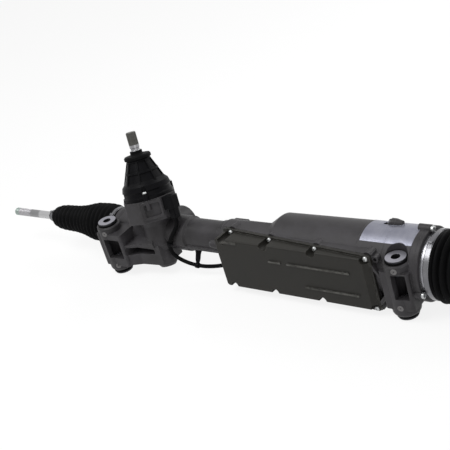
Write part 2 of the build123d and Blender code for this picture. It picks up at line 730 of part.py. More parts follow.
# ---------------------------------------------------------------- motor inside
with BuildPart() as rotor:
    revolve(
        turned(
            [
                (rotor_left, rotor_bore_r), (rotor_left, rotor_r), (core_left, rotor_r), (core_left, core_r),
                (core_right, core_r), (core_right, rotor_r), (cup_left - 6, rotor_r),
                (cup_left, cup_r + cup_wall), (rotor_right, cup_r + cup_wall), (rotor_right, cup_r),
                (cup_left + 4, cup_r), (cup_left + 4, rotor_bore_r),
            ]
        ),
        axis=rack_line,
    )
save(rotor, "rotor")

with BuildPart() as rotor_magnets:
    extrude(ring(across(core_left), magnet_r, core_r + snug), amount=core_right - core_left)
    with BuildSketch(across(core_left)):
        with PolarLocations(magnet_r, poles):
            Rectangle(2 * (magnet_r - core_r) + 4, 3)
    extrude(amount=core_right - core_left, mode=Mode.SUBTRACT)
save(rotor_magnets, "rotor_magnets")

stator_inner_r = magnet_r + air_gap
slot_floor_r, slot_w = 41, 7
with BuildPart() as stator_core:
    extrude(ring(across(core_left), motor_bore_r - snug, stator_inner_r), amount=core_right - core_left)
    with BuildSketch(across(core_left)):
        with PolarLocations((stator_inner_r + slot_floor_r) / 2, slots):
            Rectangle(slot_floor_r - stator_inner_r + 2, slot_w)
    extrude(amount=core_right - core_left, mode=Mode.SUBTRACT)
save(stator_core, "stator_core")

end_turn = 8
with BuildPart() as stator_windings:
    with BuildSketch(across(core_left - end_turn)):
        with PolarLocations((stator_inner_r + slot_floor_r) / 2, slots):
            Rectangle(slot_floor_r - stator_inner_r - 2, slot_w - 2 * gap)
    extrude(amount=core_right - core_left + 2 * end_turn)
    for start in (core_left - end_turn, core_right + snug):
        extrude(ring(across(start), slot_floor_r + 2, stator_inner_r + 2), amount=end_turn - snug)
save(stator_windings, "stator_windings")

with BuildPart() as rotor_sensor:
    extrude(ring(across(motor_floor), motor_bore_r - snug, rotor_r + 8), amount=5)
save(rotor_sensor, "rotor_sensor")

with BuildPart() as rear_bearing:
    extrude(ring(across(rotor_left), rear_bearing_r - snug, rotor_r + running), amount=rear_bearing_w)
save(rear_bearing, "rear_bearing")

with BuildPart() as ball_nut:
    extrude(ring(across(cup_left + 4), cup_r - snug, rack_r + running), amount=nut_length)
    with BuildSketch(across(cup_left + 4 + nut_length)):
        with PolarLocations(20, 4):
            Circle(2.5)
    extrude(amount=-4, mode=Mode.SUBTRACT)
save(ball_nut, "ball_nut")

nut_end = cup_left + 4 + nut_length
with BuildPart() as nut_retainer:
    extrude(ring(across(nut_end), cup_r - snug, 17), amount=6)
    with BuildSketch(across(nut_end + 6)):
        with PolarLocations(cup_r - 2, 4):
            Rectangle(6, 4)
    extrude(amount=-3, mode=Mode.SUBTRACT)
save(nut_retainer, "nut_retainer")

seat_r = cup_r + cup_wall
race_wall = 4
with BuildPart() as main_bearing_inner:
    extrude(ring(across(main_bearing_at), seat_r + race_wall, seat_r + snug), amount=main_bearing_w)
save(main_bearing_inner, "main_bearing_inner")

with BuildPart() as main_bearing_outer:
    extrude(ring(across(main_bearing_at), motor_bore_r - snug, motor_bore_r - race_wall), amount=main_bearing_w)
save(main_bearing_outer, "main_bearing_outer")

main_ball_r = (motor_bore_r - seat_r - 2 * race_wall) / 2 - running
with BuildPart() as main_bearing_balls:
    with Locations(across(main_bearing_at + main_bearing_w / 2)):
        with PolarLocations((motor_bore_r + seat_r) / 2, 16):
            Sphere(main_ball_r)
save(main_bearing_balls, "main_bearing_balls")

# ---------------------------------------------------------------- end cover
with BuildPart() as end_cover:
    revolve(
        turned(
            [
                (flange_x - 4, tube_bore_r + 3), (flange_x - 4, motor_bore_r - snug), (flange_x, motor_bore_r - snug),
                (flange_x, flange_r), (flange_x + cover_t - 1, flange_r), (flange_x + cover_t, flange_r - 1),
                (flange_x + cover_t, cover_collar_r),
                (flange_x + cover_t + cover_collar_length - 1, cover_collar_r),
                (flange_x + cover_t + cover_collar_length, cover_collar_r - 1),
                (flange_x + cover_t + cover_collar_length, cover_collar_r - cover_collar_wall),
                (flange_x + cover_t, cover_collar_r - cover_collar_wall), (flange_x + cover_t, tube_bore_r),
                (flange_x + 2, tube_bore_r), (flange_x, tube_bore_r + 3),
            ]
        ),
        axis=rack_line,
    )
    extrude(spread(flange_x, cover_boss_r, cover_bolt_circle, cover_bolt_angles), amount=cover_t)
    extrude(
        spread(flange_x, cover_bolt_r + gap, cover_bolt_circle, cover_bolt_angles),
        amount=cover_t,
        mode=Mode.SUBTRACT,
    )
save(end_cover, "end_cover")

with BuildPart() as end_cover_bolts:
    seat = flange_x + cover_t
    for radius, length in ((cover_bolt_head_r, cover_bolt_head_t), (cover_bolt_r, -cover_t - 9)):
        extrude(spread(seat, radius, cover_bolt_circle, cover_bolt_angles), amount=length)
save(end_cover_bolts, "end_cover_bolts")

# ---------------------------------------------------------------- electronics
lid_front = Plane(
    origin=(0, lid_front_y, 0),
    x_dir=(cos(radians(lid_front_slope)), -sin(radians(lid_front_slope)), 0),
    z_dir=(-sin(radians(lid_front_slope)), -cos(radians(lid_front_slope)), 0),
)

with BuildPart() as lid_hollow:
    extrude(panel(parting, hollow_low, hollow_high, 3), amount=lid_deep)
    split(bisect_by=lid_front.offset(-lid_wall), keep=Keep.BOTTOM)
    extrude(lid_bores(0, screw_notch_r + lid_wall), amount=lid_deep, mode=Mode.SUBTRACT)

with BuildPart() as ecu_lid:
    extrude(
        panel(
            parting.offset(gasket_t),
            (lid_left + lid_inset, box_bottom + lid_inset),
            (lid_right - lid_inset, box_top - lid_inset),
            5,
        ),
        amount=lid_deep,
    )
    split(bisect_by=lid_front, keep=Keep.BOTTOM)
    fillet(ecu_lid.faces().sort_by(Axis.Y)[0].outer_wire().edges(), 3)
    bevel_x, bevel_y = box_right - lid_inset, parting_at(box_right) - lid_flange
    bevel = [(bevel_x, bevel_y), (bevel_x - 1.7 * lid_deep, bevel_y - lid_deep), (bevel_x + 1, bevel_y - lid_deep)]
    extrude(outline(Plane.XY, bevel), amount=box_top, mode=Mode.SUBTRACT)
    extrude(lid_bores(gasket_t, screw_notch_r), amount=lid_deep, mode=Mode.SUBTRACT)
    extrude(
        panel(parting.offset(gasket_t), (lid_left, box_bottom), (lid_right, box_top), 6),
        amount=lid_flange - gasket_t,
    )
    # Stiffening ribs on the front
    for left, right, low in ((62, 84, 68), (95, 202, 68), (118, 210, 32), (-22, 8, 91)):
        extrude(panel(lid_front.offset(-1), (left, low), (right, low + 3), 1), amount=2.8)
    add(lid_hollow.part, mode=Mode.SUBTRACT)
    extrude(lid_bores(0, screw_r + gap), amount=lid_deep, mode=Mode.SUBTRACT)
save(ecu_lid, "ecu_lid")

with BuildPart() as lid_gasket:
    extrude(
        panel(parting, (lid_left + 1.5, box_bottom + 1.5), (lid_right - 1.5, box_top - 1.5), 5),
        amount=gasket_t - snug,
    )
    add(lid_hollow.part, mode=Mode.SUBTRACT)
    extrude(lid_bores(0, screw_r + gap), amount=gasket_t, mode=Mode.SUBTRACT)
save(lid_gasket, "lid_gasket")

with BuildPart() as lid_screws:
    extrude(lid_bores(lid_flange, screw_head_r), amount=screw_head_t)
    chamfer(lid_screws.faces().filter_by(parting).group_by(Axis(parting.origin, parting.z_dir))[-1].edges(), 0.9)
    extrude(lid_bores(lid_flange, screw_r), amount=-screw_length)
save(lid_screws, "lid_screws")

with BuildPart() as ecu_board:
    extrude(
        panel(Plane.XZ.offset(-board_y), (board_left, board_bottom), (board_right, board_top), 3),
        amount=board_t,
    )
save(ecu_board, "ecu_board")

with BuildPart() as board_parts:
    with BuildSketch(Plane.XZ.offset(-board_y + board_t)):
        with Locations((-8, 36), (6, 36), (-8, 70), (6, 70)):
            Circle(5.5)
    extrude(amount=7)
    extrude(panel(Plane.XZ.offset(-board_y + board_t), (14, 42), (36, 64)), amount=2.5)
save(board_parts, "board_parts")

signal_low, signal_high = (18.5, 10), (33.5, 25)    # sensor socket on the end of the tray, in y and z
signal_depth, signal_wall = 15, 1.6
with BuildPart() as signal_socket:
    extrude(panel(Plane.YZ.offset(box_left), signal_low, signal_high, 2), amount=-signal_depth)
    extrude(
        panel(
            Plane.YZ.offset(box_left - 3),
            (signal_low[0] + signal_wall, signal_low[1] + signal_wall),
            (signal_high[0] - signal_wall, signal_high[1] - signal_wall),
            1,
        ),
        amount=-signal_depth,
        mode=Mode.SUBTRACT,
    )
save(signal_socket, "signal_socket")

power_depth, power_wall = 17, 2
with BuildPart() as power_socket:
    face_plane = Plane.XZ.offset(-socket_pad_y)
    low, high = (socket_pad[0][0] + 3, socket_pad[0][1] + 2), (socket_pad[1][0] - 3, socket_pad[1][1] - 2)
    extrude(panel(face_plane, low, high, 4), amount=-power_depth)
    extrude(
        panel(
            face_plane.offset(-3),
            (low[0] + power_wall, low[1] + power_wall),
            (high[0] - power_wall, high[1] - power_wall),
            3,
        ),
        amount=-power_depth,
        mode=Mode.SUBTRACT,
    )
    extrude(panel(face_plane.offset(-3), (-14, 44), (-12, 54)), amount=-6)
    extrude(panel(face_plane.offset(-3), (12, 44), (14, 54)), amount=-6)
save(power_socket, "power_socket")

with BuildPart() as spigot_seal:
    extrude(ring(across(seal_at), spigot_r, spigot_r - seal_depth + snug), amount=seal_w)
save(spigot_seal, "spigot_seal")

with BuildPart() as housing_screws:
    for seat, way, circle, angles in (
        (tube_end - joint_ear_t, 1, joint_ear_circle, joint_angles),
        (motor_end + joint_ear_t, -1, end_ear_circle, end_angles),
        (motor_end - top_ear_t, 1, top_ear_circle, top_angles),
    ):
        extrude(spread(seat, joint_head_r, circle, angles), amount=-way * joint_head_t)
        extrude(spread(seat, joint_screw_r, circle, angles), amount=way * joint_screw_length)
save(housing_screws, "housing_screws")

# ---------------------------------------------------------------- tower top
flange_top, lug_top = block_high + cover_flange_t, block_high + cover_lug_t
cone_wall, window_depth = 2.5, 2
window_foot = cone_foot + 3
ring_low, ring_high = cone_foot + 16, cone_foot + 19
window_end, rib_end = cone_top - 4, cone_top - 2


def cone_at(s):
    return cone_r + (cone_top_r - cone_r) * (s - cone_foot) / (cone_top - cone_foot)


with BuildPart() as tower_cover:
    outer = [
        (cover_screw_circle, block_high), (cover_screw_circle, flange_top), (39, flange_top + 1.5),
        (38.5, lug_top + 1), (40, lug_top + 3.5), (cone_r + 3.5, cone_foot - 3.5), (cone_r, cone_foot),
        (cone_at(window_foot) - window_depth, window_foot), (cone_at(ring_low) - window_depth, ring_low),
        (cone_at(ring_low), ring_low), (cone_at(ring_high), ring_high),
        (cone_at(ring_high) - window_depth, ring_high), (cone_at(window_end) - window_depth, window_end),
        (cone_at(rib_end), rib_end), (cone_top_r, cone_top),
    ]
    inner = [
        (12, cone_top), (12, cone_top - 3), (cone_top_r - cone_wall - window_depth, cone_top - 3),
        (cone_at(window_foot) - cone_wall - window_depth, window_foot), (34, cone_foot - 4), (34.5, lug_top + 1),
        (35.5, block_high),
    ]
    revolve(outline(pinion_section, outer + inner), axis=pinion_line)
    for k in range(8):
        turn = radians(45 * k + 12)
        radial = side_dir * cos(turn) + offset_dir * sin(turn)
        rib_face = Plane(origin=pinion_foot, x_dir=radial, z_dir=radial.cross(pinion_dir))
        rib = [
            (cone_r - 4, cone_foot), (cone_r, cone_foot), (cone_at(rib_end), rib_end), (cone_at(rib_end) - 4, rib_end)
        ]
        extrude(outline(rib_face, rib), amount=1.3, both=True)
    extrude(around_tower(block_high, cover_lug_r), amount=cover_lug_t)
    head_room = cover_head_t + 8
    extrude(around_tower(lug_top, cover_head_r + gap), amount=head_room, mode=Mode.SUBTRACT)
    extrude(around_tower(block_high, cover_screw_r + gap), amount=cover_lug_t, mode=Mode.SUBTRACT)
save(tower_cover, "tower_cover")

with BuildPart() as tower_cover_screws:
    extrude(around_tower(lug_top, cover_head_r), amount=cover_head_t)
    extrude(around_tower(lug_top, cover_screw_r), amount=1 - cover_lug_t - cover_screw_length)
save(tower_cover_screws, "tower_cover_screws")

with BuildPart() as input_seal:
    revolve(
        outline(
            pinion_section,
            [
                (input_shaft_r + running, cone_top - 5), (12 - snug, cone_top - 5), (12 - snug, cone_top),
                (cone_top_r, cone_top), (22, cone_top + 1), (22, cone_top + 5), (20.5, cone_top + 7),
                (11, cone_top + 8.5), (10, cone_top + 9.5), (10, cone_top + 13), (9.4, cone_top + 14),
                (input_shaft_r + running, cone_top + 14),
            ],
        ),
        axis=pinion_line,
    )
save(input_seal, "input_seal")

with BuildPart() as torque_sensor:
    extrude(ring(level(magnet_low - 2), sensor_bore_r - snug, 18), amount=2)
    extrude(ring(level(magnet_low), sensor_bore_r - snug, 23), amount=8)
    extrude(ring(level(magnet_low + 3), 24, 17), amount=2)
save(torque_sensor, "torque_sensor")

# ---------------------------------------------------------------- sensor lead
socket_front = -8        # the sensor socket stands a little to the front of the pinion axis
plug_side = block_r + 12
with BuildPart() as sensor_socket:
    extrude(panel(level(42), (block_r, socket_front - 9), (block_r + 20, socket_front + 9), 2.5), amount=21)
    extrude(
        panel(level(42), (plug_side - 7, socket_front - 6.5), (plug_side + 5.5, socket_front + 6.5), 1),
        amount=12,
        mode=Mode.SUBTRACT,
    )
save(sensor_socket, "sensor_socket")

lead_start = tower_point(plug_side - 0.75, 26, socket_front)
lead_end = Vector(box_left - signal_depth - 8, (signal_low[0] + signal_high[0]) / 2, (signal_low[1] + signal_high[1]) / 2)
lead_points = [
    lead_start,
    lead_start - pinion_dir * 9,
    Vector(-139.5, 13.5, 80),
    Vector(-149.5, 8, 66),
    Vector(-155, 7, 51.5),
    Vector(-154, 9.5, 37),
    Vector(-144, 13, 25.5),
    Vector(-126, 14.5, 19),
    Vector(-104, 16, 16.5),
    Vector(-84, 21, 16),
    lead_end - Vector(10, 0, 0),
    lead_end,
]


def bend_radii(points):
    radii = []
    for before, here, after in zip(points, points[1:], points[2:]):
        run_in, run_out = here - before, after - here
        turn = radians(run_in.get_angle(run_out))
        radii.append(0.45 * min(run_in.length, run_out.length) / tan(turn / 2))
    return radii


with BuildPart() as sensor_lead:
    with BuildLine() as lead_path:
        FilletPolyline(*lead_points, radius=bend_radii(lead_points))
    with BuildSketch(Plane(origin=lead_start, z_dir=pinion_dir * -1)):
        Circle(lead_r)
    sweep()
save(sensor_lead, "sensor_lead")
lead_length = sum(edge.length for edge in lead_path.edges())
print("lead radii", [round(r, 1) for r in bend_radii(lead_points)])
print("lead length", round(lead_length, 1), "volume ratio", sensor_lead.part.volume / (pi * lead_r**2 * lead_length))

with BuildPart() as sensor_plugs:
    extrude(
        panel(level(26), (plug_side - 6.6, socket_front - 6.1), (plug_side + 5.1, socket_front + 6.1), 1.5),
        amount=24,
    )
    inset = signal_wall + snug
    extrude(
        panel(
            Plane.YZ.offset(box_left - 5),
            (signal_low[0] + inset, signal_low[1] + inset),
            (signal_high[0] - inset, signal_high[1] - inset),
            1.5,
        ),
        amount=5 - signal_depth - 8,
    )
save(sensor_plugs, "sensor_plugs")

clip_at = (lead_points[3] + lead_points[4]) * 0.5
clip_way = (lead_points[4] - lead_points[3]).normalized()
stalk_at = (lead_points[7] + lead_points[8]) * 0.5
stalk_way = (lead_points[8] - lead_points[7]).normalized()
with BuildPart() as lead_clips:
    for middle, way in ((clip_at, clip_way), (stalk_at, stalk_way)):
        extrude(ring(Plane(origin=middle - way * 3, z_dir=way), lead_r + 1.4, lead_r + 0.1), amount=6)
    to_tube = Vector(0, rack_y - stalk_at.Y, rack_z - stalk_at.Z)
    stalk_length = to_tube.length - tube_r - snug
    stalk_start = stalk_at + to_tube.normalized() * (lead_r + 0.7)
    extrude(disc(Plane(origin=stalk_start, z_dir=to_tube), 2.2), amount=stalk_length - lead_r - 0.7)
save(lead_clips, "lead_clips")

# ---------------------------------------------------------------- ball joints, tie rods and bellows
cavity_r = ball_r + seat_t + snug
mouth_at = 7.5
hex_flat = 0.93 * socket_r


def outward(ball_x, way, points):
    """Half profile from (distance out from the ball, radius) on the side that way points to."""
    return turned([(ball_x + way * d, r) for d, r in points])


for side, ball_x, way in (("left", left_ball_x, -1), ("right", right_ball_x, 1)):
    with BuildPart() as ball_socket:
        revolve(
            outward(
                ball_x,
                way,
                [
                    (-socket_to_ball - socket_spigot_length, 0),
                    (-socket_to_ball - socket_spigot_length, socket_spigot_r - 1),
                    (-socket_to_ball - socket_spigot_length + 1, socket_spigot_r),
                    (-socket_to_ball, socket_spigot_r), (-socket_to_ball, socket_r - 1),
                    (-socket_to_ball + 1, socket_r), (6, socket_r), (11, 16.6),
                    (socket_mouth, 14.4), (socket_mouth, 0),
                ],
            ),
            axis=rack_line,
        )
        with BuildSketch(across(ball_x - way * socket_to_ball)):
            Rectangle(3 * socket_r, 3 * socket_r)
            Rectangle(3 * socket_r, 2 * hex_flat, mode=Mode.SUBTRACT)
        extrude(amount=way * 9, mode=Mode.SUBTRACT)
        with Locations(across(ball_x)):
            Sphere(cavity_r, mode=Mode.SUBTRACT)
        mouth = [(mouth_at, 0), (mouth_at, 11.2), (socket_mouth + 1, 14.5), (socket_mouth + 1, 0)]
        revolve(outward(ball_x, way, mouth), axis=rack_line, mode=Mode.SUBTRACT)
    save(ball_socket, f"{side}_ball_socket")

    with BuildPart() as tie_rod:
        neck_start = sqrt(ball_r**2 - neck_r**2) - 0.5
        thread_start = rod_length - thread_lead - thread_length
        revolve(
            outward(
                ball_x,
                way,
                [
                    (neck_start, 0), (neck_start, neck_r), (24, neck_r), (28, rod_r),
                    (thread_start - relief_w - relief_depth, rod_r), (thread_start - relief_w, rod_r - relief_depth),
                    (thread_start, rod_r - relief_depth), (thread_start, rod_r),
                    (rod_length - thread_lead, rod_r), (rod_length, rod_r - thread_lead), (rod_length, 0),
                ],
            ),
            axis=rack_line,
        )
        with Locations(across(ball_x)):
            Sphere(ball_r)
    save(tie_rod, f"{side}_tie_rod")

with BuildPart() as ball_seats:
    for ball_x, way in ((left_ball_x, -1), (right_ball_x, 1)):
        with Locations(across(ball_x)):
            Sphere(cavity_r - snug)
            Sphere(ball_r + running, mode=Mode.SUBTRACT)
        lip = mouth_at - 0.8
        rim = [(lip, 0), (lip, cavity_r + 1), (cavity_r + 1, cavity_r + 1), (cavity_r + 1, 0)]
        revolve(outward(ball_x, way, rim), axis=rack_line, mode=Mode.SUBTRACT)
save(ball_seats, "ball_seats")

neck_out = cuff_at
neck_in = cuff_at - cuff_length


def bellows(big_end, big_end_out, big_r, first_fold, folds, crest_start, crest_end, fold_depth, ball_x, way):
    """Corrugated sleeve from its cuff on the housing to its neck on the tie rod."""
    neck_x = ball_x + way * neck_in
    last_fold = neck_x - way * 4
    outer = [(big_end, big_r + rubber_wall), (big_end_out, big_r + rubber_wall)]
    pitch = (last_fold - first_fold) / (2 * folds)
    for k in range(2 * folds + 1):
        share = k / (2 * folds)
        crest = crest_start + (crest_end - crest_start) * share
        radius = crest - fold_depth * (1 - 0.4 * share) * ((k + 1) % 2)
        outer.append((first_fold + pitch * k, radius))
    outer += [(neck_x, cuff_r), (ball_x + way * neck_out, cuff_r)]
    inner = [(x, r - rubber_wall) for x, r in outer[2:-2]]
    inner = [(big_end, big_r + snug), (big_end_out, big_r + snug)] + inner
    inner += [(neck_x, rod_r + snug), (ball_x + way * neck_out, rod_r + snug)]
    return turned(outer + inner[::-1])


with BuildPart() as left_bellows:
    revolve(
        bellows(
            collar_left + 13, collar_left, collar_r, collar_left - 3, left_folds,
            32, 19, 4.6, left_ball_x, -1,
        ),
        axis=rack_line,
    )
save(left_bellows, "left_bellows")

right_collar_end = flange_x + cover_t + cover_collar_length
with BuildPart() as right_bellows:
    revolve(
        bellows(
            right_collar_end - 11, right_collar_end, cover_collar_r, right_collar_end + 3, right_folds,
            cover_collar_r + 5, 19, 6, right_ball_x, 1,
        ),
        axis=rack_line,
    )
save(right_bellows, "right_bellows")


def band_clamp(middle, radius, width, ear):
    """Band with its crimped ear, ear degrees forward of straight up."""
    extrude(ring(across(middle - width / 2), radius + clamp_t, radius + snug), amount=width)
    turn = radians(90 + ear)
    ear_foot = Plane(origin=(middle, rack_y, rack_z), x_dir=(1, 0, 0), z_dir=(0, cos(turn), sin(turn)))
    face = ear_foot.offset(radius + snug + 0.4)
    extrude(panel(face, (0.5 - width / 2, -2), (width / 2 - 0.5, 2), 0.8), amount=5)


with BuildPart() as big_clamps:
    band_clamp(collar_left + 6, collar_r + rubber_wall, clamp_w, 35)
    band_clamp(right_collar_end - 5.5, cover_collar_r + rubber_wall, clamp_w, 20)
save(big_clamps, "big_clamps")

for side, ball_x, way in (("left", left_ball_x, -1), ("right", right_ball_x, 1)):
    with BuildPart() as small_clamp:
        band_clamp(ball_x + way * (neck_in + cuff_length / 2), cuff_r, 6, 20)
    save(small_clamp, f"{side}_small_clamp")
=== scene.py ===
import bpy
import json
from math import cos, sin, pi, radians, hypot, atan2
from mathutils import Matrix, Vector


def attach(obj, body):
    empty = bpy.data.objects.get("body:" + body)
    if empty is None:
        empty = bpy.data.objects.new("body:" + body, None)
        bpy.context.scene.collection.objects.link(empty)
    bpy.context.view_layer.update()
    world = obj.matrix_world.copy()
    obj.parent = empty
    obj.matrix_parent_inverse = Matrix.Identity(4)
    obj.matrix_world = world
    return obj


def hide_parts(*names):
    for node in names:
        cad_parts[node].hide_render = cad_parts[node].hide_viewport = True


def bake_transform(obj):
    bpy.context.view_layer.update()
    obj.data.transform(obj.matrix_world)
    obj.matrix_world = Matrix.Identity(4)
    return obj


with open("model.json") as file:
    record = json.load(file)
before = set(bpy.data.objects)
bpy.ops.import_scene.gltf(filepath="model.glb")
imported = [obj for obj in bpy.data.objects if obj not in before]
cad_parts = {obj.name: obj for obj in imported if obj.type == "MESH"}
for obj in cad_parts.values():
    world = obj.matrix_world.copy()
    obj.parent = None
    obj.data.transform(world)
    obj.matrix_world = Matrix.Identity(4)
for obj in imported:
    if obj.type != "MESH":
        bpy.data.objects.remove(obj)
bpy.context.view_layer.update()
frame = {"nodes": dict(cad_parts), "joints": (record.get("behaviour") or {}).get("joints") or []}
nodes = frame["nodes"]
joints = {joint["name"]: joint for joint in frame["joints"]}
rackAt = Vector((0, 0.041, 0.0605))       # a point on the rack's centre line
alongX = Vector((1, 0, 0))
upZ = Vector((0, 0, 1))
towerFoot = Vector(joints["input_twist"]["pos_m"])
towerWay = Vector(joints["input_twist"]["axis"]).normalized()
leftBall = Vector(joints["left_tie_rod_swing"]["pos_m"])
rightBall = Vector(joints["right_tie_rod_swing"]["pos_m"])


# camera

camera = {
    "place": (0.992562, -1.040882, 0.869733),
    "look": (-0.6168, 0.6369, -0.4625),
    "roll": -17.437,
    "lens": 87.70,
    "sensor": 36.0,
    "clip": (0.05, 20),
}


def makeCamera(facts):
    look = Vector(facts["look"]).normalized()
    right = look.cross(upZ).normalized()
    up = right.cross(look)
    turn = radians(facts["roll"])
    side = right * cos(turn) + up * sin(turn)
    top = up * cos(turn) - right * sin(turn)
    bpy.ops.object.camera_add()
    shot = bpy.context.object
    shot.name = "viewCamera"
    shot.data.lens, shot.data.sensor_width = facts["lens"], facts["sensor"]
    shot.data.clip_start, shot.data.clip_end = facts["clip"]
    turned = Matrix((side, top, -look)).transposed().to_4x4()
    shot.matrix_world = Matrix.Translation(facts["place"]) @ turned
    bpy.context.scene.camera = shot


makeCamera(camera)
print("camera made")


# shader arithmetic

def mathNode(tree, operation, a, b=None, clamp=False):
    node = tree.nodes.new("ShaderNodeMath")
    node.operation, node.use_clamp = operation, clamp
    for k, value in enumerate((a, b)):
        if value is None:
            continue
        if hasattr(value, "links"):
            tree.links.new(value, node.inputs[k])
        else:
            node.inputs[k].default_value = value
    return node.outputs[0]


def spread(tree, value, low, high, to=(0.0, 1.0)):
    node = tree.nodes.new("ShaderNodeMapRange")
    node.inputs["From Min"].default_value, node.inputs["From Max"].default_value = low, high
    node.inputs["To Min"].default_value, node.inputs["To Max"].default_value = to
    tree.links.new(value, node.inputs["Value"])
    return node.outputs["Result"]


def noise(tree, where, scale, detail=3.0, rough=0.55):
    node = tree.nodes.new("ShaderNodeTexNoise")
    node.inputs["Detail"].default_value = detail
    node.inputs["Roughness"].default_value = rough
    tree.links.new(where, node.inputs["Vector"])
    if hasattr(scale, "links"):
        tree.links.new(scale, node.inputs["Scale"])
    else:
        node.inputs["Scale"].default_value = scale
    return node.outputs["Fac"]


def mixed(tree, amount, first, second):
    # the colour sockets are the seventh and eighth, and the colour comes out of the third
    node = tree.nodes.new("ShaderNodeMix")
    node.data_type = "RGBA"
    tree.links.new(amount, node.inputs[0])
    for socket, value in ((node.inputs[6], first), (node.inputs[7], second)):
        if hasattr(value, "links"):
            tree.links.new(value, socket)
        else:
            socket.default_value = (*value, 1)
    return node.outputs[2]


# room and light

room = {
    "floor": (0.93, 0.93, 0.93), "floorSize": 12, "floorAt": -0.0004, "dull": 0.9, "glow": 0.84, "sky": 0.5,
    "lamps": {
        "keyLight": {"place": (-0.45, -0.5, 1.6), "size": 1.0, "power": 17},
        "fillLight": {"place": (1.5, -0.9, 0.7), "size": 1.2, "power": 4},
        "rimLight": {"place": (0.3, 1.4, 1.1), "size": 0.9, "power": 11},
    },
}


def whiteShare(tree, most=1.0):
    # how far a ray sees plain white: those from the camera, and those off metal or through glass
    path = tree.nodes.new("ShaderNodeLightPath")
    share = 0.0
    for kind in ("Is Camera Ray", "Is Glossy Ray", "Is Transmission Ray"):
        share = mathNode(tree, "ADD", path.outputs[kind], share, True)
    return mathNode(tree, "MULTIPLY", share, most)


def makeLamp(name, facts):
    # a soft lamp that looks at the origin
    bpy.ops.object.light_add(type="AREA", location=facts["place"])
    light = bpy.context.object
    light.name = name
    light.data.energy, light.data.size = facts["power"], facts["size"]
    light.rotation_euler = (-Vector(facts["place"])).to_track_quat("-Z", "Y").to_euler()


def makeFloor(facts):
    bpy.ops.mesh.primitive_plane_add(size=facts["floorSize"], location=(0, 0, facts["floorAt"]))
    floor = bpy.context.object
    floor.name = "studioFloor"
    paint = bpy.data.materials.new("paleFloor")
    paint.use_nodes = True
    tree = paint.node_tree
    shader = tree.nodes["Principled BSDF"]
    shader.inputs["Base Color"].default_value = (*facts["floor"], 1)
    shader.inputs["Roughness"].default_value = facts["dull"]
    glow = tree.nodes.new("ShaderNodeEmission")
    mix = tree.nodes.new("ShaderNodeMixShader")
    tree.links.new(whiteShare(tree, facts["glow"]), mix.inputs["Fac"])
    tree.links.new(shader.outputs[0], mix.inputs[1])
    tree.links.new(glow.outputs[0], mix.inputs[2])
    tree.links.new(mix.outputs[0], tree.nodes["Material Output"].inputs["Surface"])
    floor.data.materials.append(paint)


def makeSky(facts):
    # an even light from all around, and white where it is seen
    world = bpy.data.worlds.new("studio")
    bpy.context.scene.world = world
    world.use_nodes = True
    tree = world.node_tree
    sky = tree.nodes["Background"]
    sky.inputs["Color"].default_value = (1, 1, 1, 1)
    sky.inputs["Strength"].default_value = facts["sky"]
    seen = tree.nodes.new("ShaderNodeBackground")
    seen.inputs["Strength"].default_value = 1
    mix = tree.nodes.new("ShaderNodeMixShader")
    tree.links.new(whiteShare(tree), mix.inputs["Fac"])
    tree.links.new(sky.outputs[0], mix.inputs[1])
    tree.links.new(seen.outputs[0], mix.inputs[2])
    tree.links.new(mix.outputs[0], tree.nodes["World Output"].inputs["Surface"])


makeFloor(room)
makeSky(room)
for lampName, lampFacts in room["lamps"].items():
    makeLamp(lampName, lampFacts)
bpy.context.scene.view_settings.view_transform = "Standard"
print("room made")


# finishes

def nodeGroup(name, wants, gives):
    group = bpy.data.node_groups.new(name, "ShaderNodeTree")
    for label, kind, value in wants:
        socket = group.interface.new_socket(name=label, in_out="INPUT", socket_type=kind)
        socket.default_value = value
    for label, kind in gives:
        group.interface.new_socket(name=label, in_out="OUTPUT", socket_type=kind)
    return group, group.nodes.new("NodeGroupInput"), group.nodes.new("NodeGroupOutput")


def makeGrain():
    # height of a cast, moulded or rolled skin, and slow blotches over it
    group, given, out = nodeGroup(
        "skinGrain",
        [("Size", "NodeSocketFloat", 900.0), ("Blotch Size", "NodeSocketFloat", 25.0)],
        [("Height", "NodeSocketFloat"), ("Blotch", "NodeSocketFloat")],
    )
    where = group.nodes.new("ShaderNodeTexCoord").outputs["Object"]
    fine = noise(group, where, given.outputs["Size"], 4.0)
    slow = noise(group, where, given.outputs["Blotch Size"], 5.0, 0.6)
    group.links.new(fine, out.inputs["Height"])
    group.links.new(spread(group, slow, 0.3, 0.7), out.inputs["Blotch"])
    return group


def makeEdges():
    # softened edge normals, and a mask of the worn edges
    group, given, out = nodeGroup(
        "softEdges",
        [("Width", "NodeSocketFloat", 0.0008), ("Break Size", "NodeSocketFloat", 160.0)],
        [("Mask", "NodeSocketFloat"), ("Normal", "NodeSocketVector")],
    )
    bevel = group.nodes.new("ShaderNodeBevel")
    bevel.samples = 4
    group.links.new(given.outputs["Width"], bevel.inputs["Radius"])
    flat = group.nodes.new("ShaderNodeNewGeometry").outputs["Normal"]
    dot = group.nodes.new("ShaderNodeVectorMath")
    dot.operation = "DOT_PRODUCT"
    group.links.new(bevel.outputs[0], dot.inputs[0])
    group.links.new(flat, dot.inputs[1])
    edge = spread(group, dot.outputs["Value"], 0.995, 0.85)
    where = group.nodes.new("ShaderNodeTexCoord").outputs["Object"]
    broken = spread(group, noise(group, where, given.outputs["Break Size"], 4.0), 0.42, 0.62)
    group.links.new(mathNode(group, "MULTIPLY", edge, broken, True), out.inputs["Mask"])
    group.links.new(bevel.outputs[0], out.inputs["Normal"])
    return group


skinGrain, softEdges = makeGrain(), makeEdges()
grainDepth = 0.0003
paints = {}


def placed(tree, group, label, value):
    node = tree.nodes.new("ShaderNodeGroup")
    node.node_tree = group
    node.inputs[label].default_value = value
    return node.outputs


